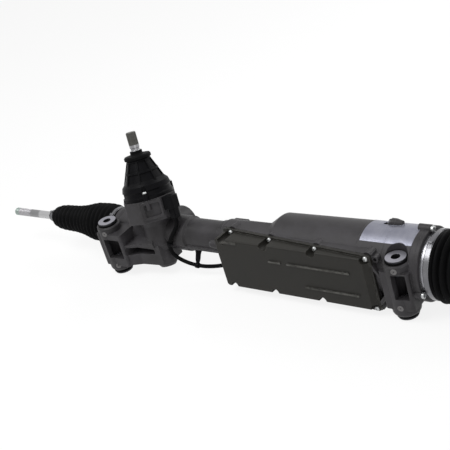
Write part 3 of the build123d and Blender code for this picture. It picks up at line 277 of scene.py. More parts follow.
def skin(name, facts):
    # a grained finish with softened, slightly worn edges
    paint = bpy.data.materials.new(name)
    paint.use_nodes = True
    tree = paint.node_tree
    shader = tree.nodes["Principled BSDF"]
    grain = placed(tree, skinGrain, "Size", facts["grain"])
    edges = placed(tree, softEdges, "Width", facts.get("edge", 0.0008))
    colour = mixed(tree, grain["Blotch"], facts["colour"], facts["second"])
    worn = mathNode(tree, "MULTIPLY", edges["Mask"], facts["wear"])
    colour = mixed(tree, worn, colour, facts["bare"])
    bump = tree.nodes.new("ShaderNodeBump")
    bump.inputs["Strength"].default_value = facts["bump"]
    bump.inputs["Distance"].default_value = grainDepth
    tree.links.new(grain["Height"], bump.inputs["Height"])
    tree.links.new(edges["Normal"], bump.inputs["Normal"])
    tree.links.new(bump.outputs[0], shader.inputs["Normal"])
    tree.links.new(spread(tree, grain["Blotch"], 0, 1, facts["rough"]), shader.inputs["Roughness"])
    shader.inputs["Metallic"].default_value = facts.get("metal", 0.0)
    shader.inputs["Specular IOR Level"].default_value = facts.get("gloss", 0.5)
    tree.links.new(colour, shader.inputs["Base Color"])
    paints[name] = paint
    return tree, shader, colour


finishes = {
    "castDark": {
        "colour": (0.023, 0.0217, 0.0225), "second": (0.046, 0.0436, 0.0475), "bare": (0.15, 0.15, 0.155),
        "metal": 0.05, "gloss": 0.22, "rough": (0.4, 0.56), "grain": 1400, "bump": 0.4, "wear": 0.5,
        "edge": 0.0011,
    },
    "lidDark": {
        "colour": (0.0155, 0.0147, 0.0127), "second": (0.022, 0.0208, 0.018), "bare": (0.11, 0.107, 0.10),
        "metal": 0.0, "gloss": 0.18, "rough": (0.42, 0.56), "grain": 1600, "bump": 0.3, "wear": 0.9,
        "edge": 0.0013,
    },
    "barePlate": {
        "colour": (0.30, 0.30, 0.32), "second": (0.23, 0.23, 0.25), "bare": (0.5, 0.5, 0.52),
        "metal": 0.8, "rough": (0.34, 0.46), "grain": 900, "bump": 0.15, "wear": 0.3,
    },
    "blackPlastic": {
        "colour": (0.0035, 0.0035, 0.0042), "second": (0.005, 0.005, 0.0058), "bare": (0.03, 0.03, 0.032),
        "gloss": 0.05, "rough": (0.3, 0.44), "grain": 2200, "bump": 0.22, "wear": 0.35, "edge": 0.0006,
    },
    "blackRubber": {
        "colour": (0.0032, 0.0032, 0.0034), "second": (0.0048, 0.0048, 0.0051), "bare": (0.018, 0.018, 0.019),
        "gloss": 0.04, "rough": (0.42, 0.6), "grain": 1100, "bump": 0.25, "wear": 0.2, "edge": 0.0005,
    },
    "groundSteel": {
        "colour": (0.34, 0.34, 0.35), "second": (0.27, 0.27, 0.28), "bare": (0.52, 0.52, 0.52),
        "metal": 0.95, "rough": (0.24, 0.36), "grain": 1500, "bump": 0.08, "wear": 0.3, "edge": 0.0004,
    },
    "zincSilver": {
        "colour": (0.52, 0.53, 0.53), "second": (0.42, 0.43, 0.43), "bare": (0.70, 0.70, 0.70),
        "metal": 0.85, "rough": (0.26, 0.38), "grain": 1300, "bump": 0.12, "wear": 0.3, "edge": 0.0004,
    },
    "bandSteel": {
        "colour": (0.20, 0.20, 0.21), "second": (0.14, 0.14, 0.15), "bare": (0.45, 0.45, 0.45),
        "metal": 0.85, "rough": (0.24, 0.36), "grain": 1300, "bump": 0.12, "wear": 0.4, "edge": 0.0004,
    },
    "bushSteel": {
        "colour": (0.35, 0.345, 0.39), "second": (0.25, 0.25, 0.28), "bare": (0.66, 0.66, 0.70),
        "metal": 0.7, "rough": (0.3, 0.44), "grain": 1300, "bump": 0.12, "wear": 0.7, "edge": 0.0007,
    },
    "darkSteel": {
        "colour": (0.045, 0.045, 0.048), "second": (0.07, 0.07, 0.074), "bare": (0.25, 0.25, 0.25),
        "metal": 0.6, "gloss": 0.4, "rough": (0.34, 0.5), "grain": 1200, "bump": 0.2, "wear": 0.5,
        "edge": 0.0006,
    },
    "windingCopper": {
        "colour": (0.4, 0.15, 0.05), "second": (0.3, 0.11, 0.04), "bare": (0.5, 0.25, 0.1),
        "metal": 0.6, "rough": (0.3, 0.45), "grain": 500, "bump": 0.3, "wear": 0.2,
    },
    "boardGreen": {
        "colour": (0.015, 0.09, 0.035), "second": (0.02, 0.11, 0.045), "bare": (0.1, 0.14, 0.08),
        "rough": (0.3, 0.4), "grain": 1800, "bump": 0.1, "wear": 0.2,
    },
}
for finishName, finishFacts in finishes.items():
    skin(finishName, finishFacts)


def within(tree, value, low, high, soft):
    # 1 where the value lies between low and high, with a soft edge
    up = spread(tree, value, low - soft, low + soft)
    down = spread(tree, value, high + soft, high - soft)
    return mathNode(tree, "MULTIPLY", up, down)


def placeParts(tree):
    # the place in the part's own frame, its x and y, and how far it is from the rack's centre line
    where = tree.nodes.new("ShaderNodeTexCoord").outputs["Object"]
    split = tree.nodes.new("ShaderNodeSeparateXYZ")
    tree.links.new(where, split.inputs[0])
    x, y, z = split.outputs
    back, up = mathNode(tree, "SUBTRACT", y, rackAt.y), mathNode(tree, "SUBTRACT", z, rackAt.z)
    squares = mathNode(tree, "ADD", mathNode(tree, "POWER", back, 2), mathNode(tree, "POWER", up, 2))
    return {"where": where, "x": x, "y": y, "away": mathNode(tree, "SQRT", squares)}


def bareMetal(tree, shader, colour, at, mask, facts):
    # turned bare metal where the mask is 1, with fine lines around the rack's centre line
    lines = noise(tree, mathNode(tree, "MULTIPLY", at["x"], facts["lines"]), 1.0, 3.0)
    smear = noise(tree, at["where"], facts["smear"], 4.0, 0.6)
    shade = mathNode(tree, "MULTIPLY", spread(tree, lines, 0.3, 0.7), spread(tree, smear, 0.3, 0.7))
    metal = mixed(tree, shade, facts["colour"], facts["second"])
    tree.links.new(mixed(tree, mask, colour, metal), shader.inputs["Base Color"])
    tree.links.new(spread(tree, mask, 0, 1, (facts["under"], facts["metal"])), shader.inputs["Metallic"])
    rough = shader.inputs["Roughness"].links[0].from_socket
    dull = tree.nodes.new("ShaderNodeMix")
    tree.links.new(mask, dull.inputs[0])
    tree.links.new(rough, dull.inputs[2])
    dull.inputs[3].default_value = facts["rough"]
    tree.links.new(dull.outputs[0], shader.inputs["Roughness"])


turnedBand = {
    "x": (0.2075, 0.2895), "away": (0.0509, 0.0519), "awaySoft": 0.0001, "back": 0.0143, "soft": 0.00015,
    "backSoft": 0.0002, "lines": 2600, "smear": 60.0,
    "colour": (0.20, 0.204, 0.25), "second": (0.32, 0.325, 0.37), "metal": 0.6, "under": 0.05, "rough": 0.36,
}
coverRing = {
    "x": 0.3034, "soft": 0.0002, "lines": 2600, "smear": 60.0,
    "colour": (0.25, 0.25, 0.27), "second": (0.42, 0.42, 0.44), "metal": 0.92, "under": 0.05, "rough": 0.2,
}
# a paler colour, in patches, on the rib tops that stand proud of the lid's front
lidProudPale = {
    "front": 0.0148, "slope": 0.0192, "proud": 0.0011, "soft": 0.0006, "patches": 90.0,
    "colour": (0.085, 0.083, 0.076),
}
# painted shade: the dark colour laid on the bushes' upright walls and down their bores
bushWallShade = {"level": (0.25, 0.6), "colour": (0.035, 0.035, 0.04)}


def makeTurnedCast(facts):
    # dark casting whose barrel is turned bare over a stretch, above the box
    tree, shader, colour = skin("castTurned", finishes["castDark"])
    at = placeParts(tree)
    along = within(tree, at["x"], *facts["x"], facts["soft"])
    turned = within(tree, at["away"], *facts["away"], facts["awaySoft"])
    behind = spread(tree, at["y"], facts["back"] - facts["backSoft"], facts["back"] + facts["backSoft"])
    mask = mathNode(tree, "MULTIPLY", mathNode(tree, "MULTIPLY", along, turned), behind)
    bareMetal(tree, shader, colour, at, mask, facts)


def makeCoverCast(facts):
    # the end cover's outer face is turned bare
    tree, shader, colour = skin("castRing", finishes["castDark"])
    at = placeParts(tree)
    mask = spread(tree, at["x"], facts["x"] - facts["soft"], facts["x"] + facts["soft"])
    bareMetal(tree, shader, colour, at, mask, facts)


def makeLidCast(facts):
    # the tops of the stiffening ribs, standing proud of the lid's front, are paler in patches
    tree, shader, colour = skin("lidProudPale", finishes["lidDark"])
    at = placeParts(tree)
    front = mathNode(tree, "ADD", mathNode(tree, "MULTIPLY", at["x"], facts["slope"]), facts["front"])
    proud = mathNode(tree, "SUBTRACT", mathNode(tree, "MULTIPLY", at["y"], -1.0), front)
    mask = spread(tree, proud, facts["proud"], facts["proud"] + facts["soft"])
    patches = spread(tree, noise(tree, at["where"], facts["patches"], 4.0), 0.35, 0.6)
    paleTint = mixed(tree, mathNode(tree, "MULTIPLY", mask, patches), colour, facts["colour"])
    tree.links.new(paleTint, shader.inputs["Base Color"])


def makeShadedBushPaint(facts):
    # bright turned faces above and below, with painted shade on the walls around the sleeve and down its bore
    tree, shader, colour = skin("bushShadedFace", finishes["bushSteel"])
    normal = tree.nodes.new("ShaderNodeSeparateXYZ")
    tree.links.new(tree.nodes.new("ShaderNodeNewGeometry").outputs["True Normal"], normal.inputs[0])
    level = spread(tree, mathNode(tree, "ABSOLUTE", normal.outputs[2]), *facts["level"])
    tree.links.new(mixed(tree, level, facts["colour"], colour), shader.inputs["Base Color"])


makeTurnedCast(turnedBand)
makeCoverCast(coverRing)
makeLidCast(lidProudPale)
makeShadedBushPaint(bushWallShade)

nodeFinish = {
    "castDark": ["pinion_housing"],
    "castTurned": ["motor_housing", "end_housing"],
    "castRing": ["end_cover"],
    "lidProudPale": ["ecu_lid"],
    "barePlate": ["yoke", "yoke_plug", "pinion_cap"],
    "blackPlastic": [
        "tower_cover", "signal_socket", "power_socket", "sensor_socket", "sensor_plugs", "torque_sensor",
        "rotor_sensor", "rack_bush", "yoke_liner", "lead_clips", "ball_seats", "board_parts",
    ],
    "blackRubber": [
        "left_bellows", "right_bellows", "mount_rubbers", "input_seal", "spigot_seal", "lid_gasket",
        "sensor_lead",
    ],
    "groundSteel": [
        "rack_bar", "pinion", "torsion_bar", "input_shaft", "upper_bearing_inner", "upper_bearing_outer",
        "upper_bearing_balls", "needle_bearing", "yoke_spring", "rotor", "ball_nut", "nut_retainer",
        "main_bearing_inner", "main_bearing_outer", "main_bearing_balls", "rear_bearing", "left_ball_socket",
        "right_ball_socket",
    ],
    "zincSilver": [
        "left_tie_rod", "right_tie_rod", "left_small_clamp", "right_small_clamp", "big_clamps", "lid_screws",
        "housing_screws", "end_cover_bolts", "tower_cover_screws",
    ],
    "bushShadedFace": ["mount_bushes"],
    "darkSteel": ["stator_core", "rotor_magnets", "sensor_magnet"],
    "windingCopper": ["stator_windings"],
    "boardGreen": ["ecu_board"],
}
for finishName, members in nodeFinish.items():
    for member in members:
        node = nodes[member]
        node.data.materials.clear()
        node.data.materials.append(paints[finishName])
print("finishes made", len(paints))


# modelling tools

def deselect():
    if bpy.context.mode != "OBJECT":
        bpy.ops.object.mode_set(mode="OBJECT")
    bpy.ops.object.select_all(action="DESELECT")


def only(piece):
    deselect()
    piece.select_set(True)
    bpy.context.view_layer.objects.active = piece


def settle(piece, place=(0, 0, 0), way=(0, 0, 1), spin=0.0):
    # turns a piece made upright at the origin to its place, and leaves that in its mesh
    only(piece)
    turn = Vector(way).to_track_quat("Z", "Y").to_matrix().to_4x4() @ Matrix.Rotation(spin, 4, "Z")
    piece.matrix_world = Matrix.Translation(place) @ turn @ piece.matrix_world
    bpy.ops.object.transform_apply(location=True, rotation=True, scale=True)
    return piece


def stand(piece, axes, place):
    # turns a piece's own X, Y and Z to the given ones, at its place
    only(piece)
    turn = Matrix(axes).transposed().to_4x4()
    piece.matrix_world = Matrix.Translation(place) @ turn @ piece.matrix_world
    bpy.ops.object.transform_apply(location=True, rotation=True, scale=True)


def finishWith(piece, finish, body=None, smooth=35):
    only(piece)
    piece.data.materials.clear()
    piece.data.materials.append(paints[finish])
    bpy.ops.object.shade_smooth_by_angle(angle=radians(smooth))
    if body:
        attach(piece, body)
    return piece


def modify(piece, kind, **values):
    only(piece)
    step = piece.modifiers.new(kind.lower(), kind)
    for label, value in values.items():
        setattr(step, label, value)
    bpy.ops.object.modifier_apply(modifier=step.name)


def joined(name, parts):
    deselect()
    for part in parts:
        part.select_set(True)
    bpy.context.view_layer.objects.active = parts[0]
    bpy.ops.object.join()
    parts[0].name = name
    return parts[0]


def turnedShape(name, stations, sides=48, tube=False):
    # rings pulled up along Z, from (height, radius); a tube's last ring is bridged to its first
    deselect()
    low, first = stations[0]
    bpy.ops.mesh.primitive_circle_add(vertices=sides, radius=first, location=(0, 0, low))
    piece = bpy.context.object
    piece.name = name
    bpy.ops.object.mode_set(mode="EDIT")
    bpy.ops.mesh.select_mode(type="VERT")
    bpy.ops.mesh.select_all(action="SELECT")
    for (z0, r0), (z1, r1) in zip(stations, stations[1:]):
        bpy.ops.mesh.extrude_edges_move(TRANSFORM_OT_translate={"value": (0, 0, z1 - z0)})
        if abs(r1 - r0) > 1e-9:
            bpy.ops.transform.resize(value=(r1 / r0, r1 / r0, 1), center_override=(0, 0, z1))
    bpy.ops.mesh.select_all(action="DESELECT")
    bpy.ops.mesh.select_non_manifold()
    if tube:
        bpy.ops.mesh.bridge_edge_loops()
    else:
        bpy.ops.mesh.fill_holes(sides=0)
    bpy.ops.mesh.select_all(action="SELECT")
    bpy.ops.mesh.normals_make_consistent(inside=False)
    bpy.ops.object.mode_set(mode="OBJECT")
    return settle(piece)


def reshape(piece, change):
    # moves each vertex by hand to what change gives for its place
    for vertex in piece.data.vertices:
        vertex.co = change(vertex.co.copy())
    piece.data.update()


def copied(piece, name, place, way, spin=0.0):
    twin = piece.copy()
    twin.data = piece.data.copy()
    twin.name = name
    bpy.context.scene.collection.objects.link(twin)
    return settle(twin, place, way, spin)


# bellows

leftBoot = {
    "cuff": (-0.2790, -0.2925), "cuffRadius": 0.0284, "split": -0.405, "neck": (-0.4455, -0.456),
    "neckRadius": 0.0093, "folds": 15, "stepsPerFold": 8, "wall": 0.0013, "leastInside": 0.0070,
    "depth": (0.0050, 0.0026), "sides": 64,
    "crests": (
        (0, 0.0325), (0.12, 0.0340), (0.32, 0.0325), (0.48, 0.0265), (0.62, 0.0235), (0.84, 0.0222),
        (0.94, 0.0202), (1, 0.0155),
    ),
}
rightBoot = {
    "cuff": (0.3085, 0.3192), "cuffRadius": 0.0484, "split": 0.440, "neck": (0.4745, 0.485),
    "neckRadius": 0.0093, "folds": 15, "stepsPerFold": 8, "wall": 0.0013, "leastInside": 0.0070,
    "depth": (0.0064, 0.0026), "sides": 64,
    "crests": (
        (0, 0.0520), (0.1, 0.0520), (0.3, 0.0430), (0.48, 0.0330), (0.62, 0.0270), (0.84, 0.0225), (1, 0.0150),
    ),
}


def crestAt(crests, share):
    # radius over the folds at a share of the sleeve's length
    for (low, first), (high, last) in zip(crests, crests[1:]):
        if share <= high:
            return first + (last - first) * (share - low) / (high - low)
    return crests[-1][1]


# edges of a cuff and of a neck: from its start (0) or end (1), how far along, and how much wider
cuffEdge = ((0, 0, -0.0006), (0, 0.0006, 0), (1, -0.002, 0), (1, 0, -0.0004))
neckEdge = ((0, -0.0012, 0.004), (0, 0, 0.0008), (0, 0.0012, 0), (1, -0.001, 0), (1, 0, -0.0006))
foldsFrom, foldsTo = 0.002, 0.003       # gaps between cuff, folds and neck


def bootProfile(facts):
    # outside of the sleeve, from its cuff on the housing to its neck on the rod, as (x, radius)
    cuff, neck, perFold = facts["cuff"], facts["neck"], facts["stepsPerFold"]
    way = 1 if cuff[1] > cuff[0] else -1
    points = [(cuff[end] + way * along, facts["cuffRadius"] + wider) for end, along, wider in cuffEdge]
    first, last = cuff[1] + way * foldsFrom, neck[0] - way * foldsTo
    steps = facts["folds"] * perFold
    for k in range(steps + 1):
        share = k / steps
        crest = crestAt(facts["crests"], share)
        depth = facts["depth"][0] + (facts["depth"][1] - facts["depth"][0]) * share
        wave = 0.5 - 0.5 * cos(2 * pi * k / perFold)
        points.append((first + (last - first) * share, crest - depth * (1 - wave ** 0.75)))
    return points + [(neck[end] + way * along, facts["neckRadius"] + wider) for end, along, wider in neckEdge]


def onAxis(x):
    return (x, rackAt.y, rackAt.z)


def makeBoot(name, facts, node):
    # two sleeves end to end: the main one, and the neck on the rod
    outside = bootProfile(facts)
    way = 1 if facts["cuff"][1] > facts["cuff"][0] else -1
    nearest = min(range(len(outside)), key=lambda k: abs(outside[k][0] - facts["split"]))
    for label, run in (("Main", outside[:nearest + 1]), ("Neck", outside[nearest:])):
        inside = [(x, max(r - facts["wall"], facts["leastInside"])) for x, r in reversed(run)]
        stations = [(way * x, r) for x, r in run + inside]
        piece = turnedShape(name + label, stations, facts["sides"], tube=True)
        settle(piece, onAxis(0), (way, 0, 0))
        finishWith(piece, "blackRubber", smooth=60)
        if label == "Main":
            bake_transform(piece)
        else:
            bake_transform(piece)
        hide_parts(node)


makeBoot("leftBellows", leftBoot, "left_bellows")
makeBoot("rightBellows", rightBoot, "right_bellows")
print("bellows made")


# band clamps

bands = {
    "leftBigBand": {
        "x": -0.286, "radius": 0.02847, "width": 0.0078, "ear": 26, "body": "housing", "node": "big_clamps",
    },
    "rightBigBand": {
        "x": 0.3135, "radius": 0.04847, "width": 0.0078, "ear": 20, "body": "housing", "node": "big_clamps",
    },
    "leftSmallBand": {
        "x": -0.450, "radius": 0.00938, "width": 0.006, "ear": 20, "body": "left_rod",
        "node": "left_small_clamp",
    },
    "rightSmallBand": {
        "x": 0.479, "radius": 0.00938, "width": 0.006, "ear": 20, "body": "right_rod",
        "node": "right_small_clamp",
    },
}
bandMake = {
    "thick": 0.0009, "sides": 72, "earOut": 0.0013, "earDeep": 0.0036, "earWide": 0.0038, "earShare": 0.86,
    "earWaist": 0.62, "earRound": 0.0004, "tailShare": 0.36, "tailTop": 1.7, "tailAngles": (-1.15, 0.2),
}


def makeEar(r, width):
    # crimped ear: a block with its sides pinched in and its edges rounded
    middle = r + bandMake["thick"] + bandMake["earOut"]
    deselect()
    bpy.ops.mesh.primitive_cube_add(size=1, location=(middle, 0, 0))
    ear = bpy.context.object
    ear.scale = (bandMake["earDeep"], bandMake["earWide"], width * bandMake["earShare"])
    bpy.ops.object.transform_apply(location=True, rotation=True, scale=True)
    bpy.ops.object.mode_set(mode="EDIT")
    bpy.ops.mesh.subdivide(number_cuts=3)
    bpy.ops.object.mode_set(mode="OBJECT")

    def pinch(co):
        up = (co.x - middle) / (bandMake["earDeep"] / 2)
        narrow = bandMake["earWaist"] + (1 - bandMake["earWaist"]) * abs(up)
        return Vector((co.x, co.y * narrow, co.z))

    reshape(ear, pinch)
    modify(ear, "BEVEL", width=bandMake["earRound"], segments=2, limit_method="ANGLE")
    return ear


def makeTail(name, r, width):
    # the loose tail of the band, lying over it: a thin ring of which only an arc stays
    low, high = r + bandMake["thick"], r + bandMake["thick"] * bandMake["tailTop"]
    half = width * bandMake["tailShare"]
    section = [(-half, low), (-half, high), (half, high), (half, low)]
    tail = turnedShape(name, section, bandMake["sides"], tube=True)
    only(tail)
    bpy.ops.object.mode_set(mode="EDIT")
    bpy.ops.mesh.select_all(action="DESELECT")
    bpy.ops.object.mode_set(mode="OBJECT")
    first, last = bandMake["tailAngles"]
    for vertex in tail.data.vertices:
        vertex.select = not first < atan2(vertex.co.y, vertex.co.x) < last
    bpy.ops.object.mode_set(mode="EDIT")
    bpy.ops.mesh.select_mode(type="VERT")
    bpy.ops.mesh.delete(type="VERT")
    bpy.ops.mesh.select_all(action="DESELECT")
    bpy.ops.mesh.select_non_manifold()
    bpy.ops.mesh.fill_holes(sides=0)
    bpy.ops.object.mode_set(mode="OBJECT")
    return tail


def makeBand(name, facts):
    r, half, thick = facts["radius"], facts["width"] / 2, bandMake["thick"]
    stations = [
        (-half, r), (-half, r + thick * 0.7), (-half + thick * 0.4, r + thick), (half - thick * 0.4, r + thick),
        (half, r + thick * 0.7), (half, r),
    ]
    band = turnedShape(name, stations, bandMake["sides"], tube=True)
    piece = joined(name, [band, makeEar(r, facts["width"]), makeTail(name + "Tail", r, facts["width"])])
    # Z of the piece goes along the rack, and its X where the ear stands
    turn = radians(90 + facts["ear"])
    out = Vector((0, cos(turn), sin(turn)))
    stand(piece, (out, alongX.cross(out), alongX), onAxis(facts["x"]))
    finishWith(piece, "bandSteel", facts["body"])
    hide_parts(facts["node"])


for bandName, bandFacts in bands.items():
    makeBand(bandName, bandFacts)
print("clamps made")


# tie rods

rodFacts = {
    "ball": 0.0125, "neck": 0.0062, "shank": 0.0069, "neckRuns": (0.0112, 0.024, 0.026, 0.0285),
    "steady": (0.06, 0.1), "reliefFrom": 0.1409, "relief": 0.0059, "threadFrom": 0.1439, "pitch": 0.0015,
    "threadDepth": 0.0007, "stepsPerTurn": 6, "tipRound": 0.002, "length": 0.1855, "sides": 36,
}
rodPaint = {
    "silver": {"colour": (0.50, 0.50, 0.505), "second": (0.40, 0.40, 0.405), "metal": 0.7},
    "dull": 0.118, "thread": 0.142, "lastTurns": 0.172, "soft": 0.004,
    "tints": {"dull": (0.25, 0.25, 0.255), "thread": (0.40, 0.392, 0.408), "lastTurns": (0.32, 0.38, 0.355)},
}


def rodStations(facts):
    # ball, neck, plain shank, relief groove, thread and rounded tip, as (distance from the ball, radius)
    neck, shank, relief, reliefFrom = (facts[key] for key in ("neck", "shank", "relief", "reliefFrom"))
    start, tip = facts["threadFrom"], facts["length"]
    end = tip - facts["tipRound"]
    stations = [(-facts["ball"] * cos(pi * k / 24), facts["ball"] * sin(pi * k / 24)) for k in range(1, 21)]
    stations = [s for s in stations if not (s[0] > 0 and s[1] < neck)]
    stations += zip(facts["neckRuns"], (neck, neck, neck + 0.0004, shank))
    stations += [(along, shank) for along in (*facts["steady"], reliefFrom)]
    stations += [(reliefFrom + 0.001, relief), (start - 0.0002, relief)]
    steps = int((end - start) / (facts["pitch"] / facts["stepsPerTurn"]))
    stations += [(start + (end - start) * k / steps, shank) for k in range(steps + 1)]
    return stations + [(tip - 0.0004, shank - 0.0016), (tip, shank - 0.0022)]


def makeTieRod(name, facts, ball, way, node, body):
    rod = turnedShape(name, rodStations(facts), facts["sides"])

    def cutThread(co):
        if not facts["threadFrom"] <= co.z <= facts["length"] - 0.0015:
            return co
        phase = (co.z / facts["pitch"] - atan2(co.y, co.x) / (2 * pi)) % 1.0
        groove = facts["threadDepth"] * abs(2 * phase - 1)
        r = hypot(co.x, co.y)
        return Vector((co.x * (r - groove) / r, co.y * (r - groove) / r, co.z))

    reshape(rod, cutThread)
    settle(rod, ball, (way, 0, 0))
    finishWith(rod, "rodZinc", body)
    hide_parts(node)


def makeRodPaint(facts):
    # a dull plain stretch before the pale thread, whose last turns are a little green
    tree, shader, colour = skin("rodZinc", dict(finishes["zincSilver"], **facts["silver"]))
    fromMiddle = mathNode(tree, "SUBTRACT", placeParts(tree)["x"], (leftBall.x + rightBall.x) / 2)
    far = mathNode(tree, "ABSOLUTE", fromMiddle)
    reach = (rightBall.x - leftBall.x) / 2
    for stretch, tint in facts["tints"].items():
        start = reach + facts[stretch]
        colour = mixed(tree, spread(tree, far, start, start + facts["soft"]), colour, tint)
    tree.links.new(colour, shader.inputs["Base Color"])


makeRodPaint(rodPaint)
makeTieRod("leftTieRod", rodFacts, leftBall, -1, "left_tie_rod", "left_rod")
makeTieRod("rightTieRod", rodFacts, rightBall, 1, "right_tie_rod", "right_rod")
print("tie rods made")


# screws and bolts

drive = {"lobes": 6, "waist": 0.14}
screwTurn = 0.37        # how far each screw is turned on from the one before


def starRecess(piece, top, radius, depth):
    # lobed drive sunk in the head: its flat top is inset, drawn in between the lobes, and pushed down
    only(piece)
    bpy.ops.object.mode_set(mode="EDIT")
    bpy.ops.mesh.select_all(action="DESELECT")
    bpy.ops.mesh.select_mode(type="FACE")
    bpy.ops.object.mode_set(mode="OBJECT")
    rim = 0.0
    for face in piece.data.polygons:
        face.select = face.center.z > top - 1e-6 and face.normal.z > 0.9
        if face.select:
            rim = hypot(*piece.data.vertices[face.vertices[0]].co.xy)
    bpy.ops.object.mode_set(mode="EDIT")
    bpy.ops.mesh.inset(thickness=rim - radius)
    bpy.ops.object.mode_set(mode="OBJECT")
    for face in piece.data.polygons:
        if face.select:
            for k in face.vertices:
                vertex = piece.data.vertices[k]
                angle = atan2(vertex.co.y, vertex.co.x)
                pull = 1 - drive["waist"] + drive["waist"] * cos(drive["lobes"] * angle)
                vertex.co = (vertex.co.x * pull, vertex.co.y * pull, vertex.co.z)
    bpy.ops.object.mode_set(mode="EDIT")
    bpy.ops.mesh.extrude_region_move(TRANSFORM_OT_translate={"value": (0, 0, -depth)})
    bpy.ops.object.mode_set(mode="OBJECT")


def screwShape(name, facts, point, top, wide, sunk):
    # shank with its point, head, and the drive in the head; shares are of the head's radius and height
    head, high, shank, length = facts["head"], facts["high"], facts["shank"], facts["length"]
    stations = [(-length, shank * point), (-length + 0.0006, shank), (0, shank)]
    stations += [(high * up, head * out) for up, out in top]
    piece = turnedShape(name, stations, 24)
    starRecess(piece, high, head * wide, high * sunk)
    return piece


def panScrew(name, facts):
    top = [(0, 0.94), (0.12, 1), (0.45, 0.98), (0.75, 0.86), (0.94, 0.66), (1, 0.56)]
    return screwShape(name, facts, 0.7, top, 0.44, 0.5)


def socketBolt(name, facts):
    return screwShape(name, facts, 0.8, [(0, 1), (0.88, 1), (0.97, 0.95), (1, 0.88)], 0.6, 0.6)


def placeAll(pattern, name, spots, finish, node):
    # one screw is made and copied to its places, each copy with its own mesh
    for k, (place, way) in enumerate(spots):
        twin = copied(pattern, f"{name}{k + 1}", place, way, spin=screwTurn * k)
        finishWith(twin, finish, "housing", smooth=30)
        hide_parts(node)
    bpy.data.objects.remove(pattern)


lidScrew = {
    "head": 0.0038, "high": 0.0032, "shank": 0.0024, "length": 0.012,
    "along": (-0.0174, 0.0594, 0.1435, 0.2308), "rows": (0.0945, 0.0125),
    "joint": 0.014, "slope": 5.45, "seat": 0.005,
}
lean = radians(lidScrew["slope"])
lidOut = Vector((-sin(lean), -cos(lean), 0))


def lidPoint(x, z, out):
    return Vector((x, lidScrew["joint"] - x * sin(lean) / cos(lean), z)) + lidOut * out


placeAll(
    panScrew("lidScrewPattern", lidScrew), "lidScrew",
    [(lidPoint(x, z, lidScrew["seat"]), lidOut) for z in lidScrew["rows"] for x in lidScrew["along"]],
    "zincSilver", "lid_screws",
)

coverBolt = {
    "head": 0.0046, "high": 0.004, "shank": 0.003, "length": 0.015, "seat": 0.303, "circle": 0.052,
    "angles": (81, 201, 321),
}
jointBolts = {
    "tube": {"seat": -0.061, "circle": 0.0335, "angles": (165, 15, 285), "way": -alongX},
    "top": {"seat": 0.240, "circle": 0.053, "angles": (75,), "way": -alongX},
    "end": {"seat": 0.256, "circle": 0.057, "angles": (335, 250), "way": alongX},
}


def around(ring):
    # places on a circle round the rack's centre line
    turns = [radians(angle) for angle in ring["angles"]]
    return [rackAt + Vector((ring["seat"], ring["circle"] * cos(a), ring["circle"] * sin(a))) for a in turns]


placeAll(
    socketBolt("coverBoltPattern", coverBolt), "coverBolt", [(p, alongX) for p in around(coverBolt)],
    "zincSilver", "end_cover_bolts",
)
placeAll(
    socketBolt("jointBoltPattern", dict(coverBolt, head=0.005)), "jointBolt",
    [(p, ring["way"]) for ring in jointBolts.values() for p in around(ring)],
    "darkSteel", "housing_screws",
)

towerSide = towerWay.cross(Vector((0, -towerWay.z, towerWay.y)).normalized())
towerBack = towerSide.cross(towerWay) * -1
towerScrew = {
    "head": 0.0036, "high": 0.003, "shank": 0.0022, "length": 0.0225, "circle": 0.041,
    "angles": (-52, 68, 188), "seat": 0.0755,
}


def towerPoint(side, along, back=0.0):
    return towerFoot + towerSide * side + towerWay * along + towerBack * back


def towerRound(circle, along, angle):
    return towerPoint(circle * cos(radians(angle)), along, circle * sin(radians(angle)))


placeAll(
    panScrew("towerScrewPattern", towerScrew), "towerScrew",
    [(towerRound(towerScrew["circle"], towerScrew["seat"], a), towerWay) for a in towerScrew["angles"]],
    "zincSilver", "tower_cover_screws",
)
print("screws made")


# splined input shaft

shaft = {
    "teeth": 40, "depth": 0.00035, "splines": (0.1500, 0.1698), "runOut": 0.0003, "square": 2.2, "r": 0.008,
    "tip": 0.171, "groove": (0.1407, 0.1415, 0.1445, 0.1453), "grooveDepth": 0.0008, "sides": 160,
    "dull": (0.066, 0.065, 0.058), "metal": (0.95, 0.45),
}


def makeShaft(facts):
    # hollow end for the torsion bar, collar, seat, groove and splines, as (height, radius)
    r, tip = facts["r"], facts["tip"]
    low, high = facts["splines"]
    waist = r - facts["grooveDepth"]
    stations = [
        (0.112, 0.00315), (0.0383, 0.00315), (0.0383, 0.009), (0.0503, 0.009), (0.0503, 0.011),
        (0.1125, 0.011), (0.1135, 0.0107), (0.116, r + 0.0003), (0.117, r),
    ]
    stations += zip(facts["groove"], (r, waist, waist, r))
    splined = (low, low + 0.0006, low + 0.0065, low + 0.013, high - 0.0006, high)
    stations += [(along, r) for along in (0.1475, *splined)]
    stations += [(tip - 0.0006, r - 0.0006), (tip, r - 0.0012)]
    piece = turnedShape("inputShaft", stations, facts["sides"])
    first, last = low + facts["runOut"], high - facts["runOut"]

    def cutSplines(co):
        radius = hypot(co.x, co.y)
        if not (first < co.z < last and radius > 0.006):
            return co
        wave = cos(facts["teeth"] * atan2(co.y, co.x))
        deep = facts["depth"] * (0.5 - 0.5 * max(-1, min(1, facts["square"] * wave)))
        return Vector((co.x * (radius - deep) / radius, co.y * (radius - deep) / radius, co.z))

    reshape(piece, cutSplines)
    settle(piece, towerFoot, towerWay)
    finishWith(piece, "splineSteel", "input", smooth=28)
    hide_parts("input_shaft")


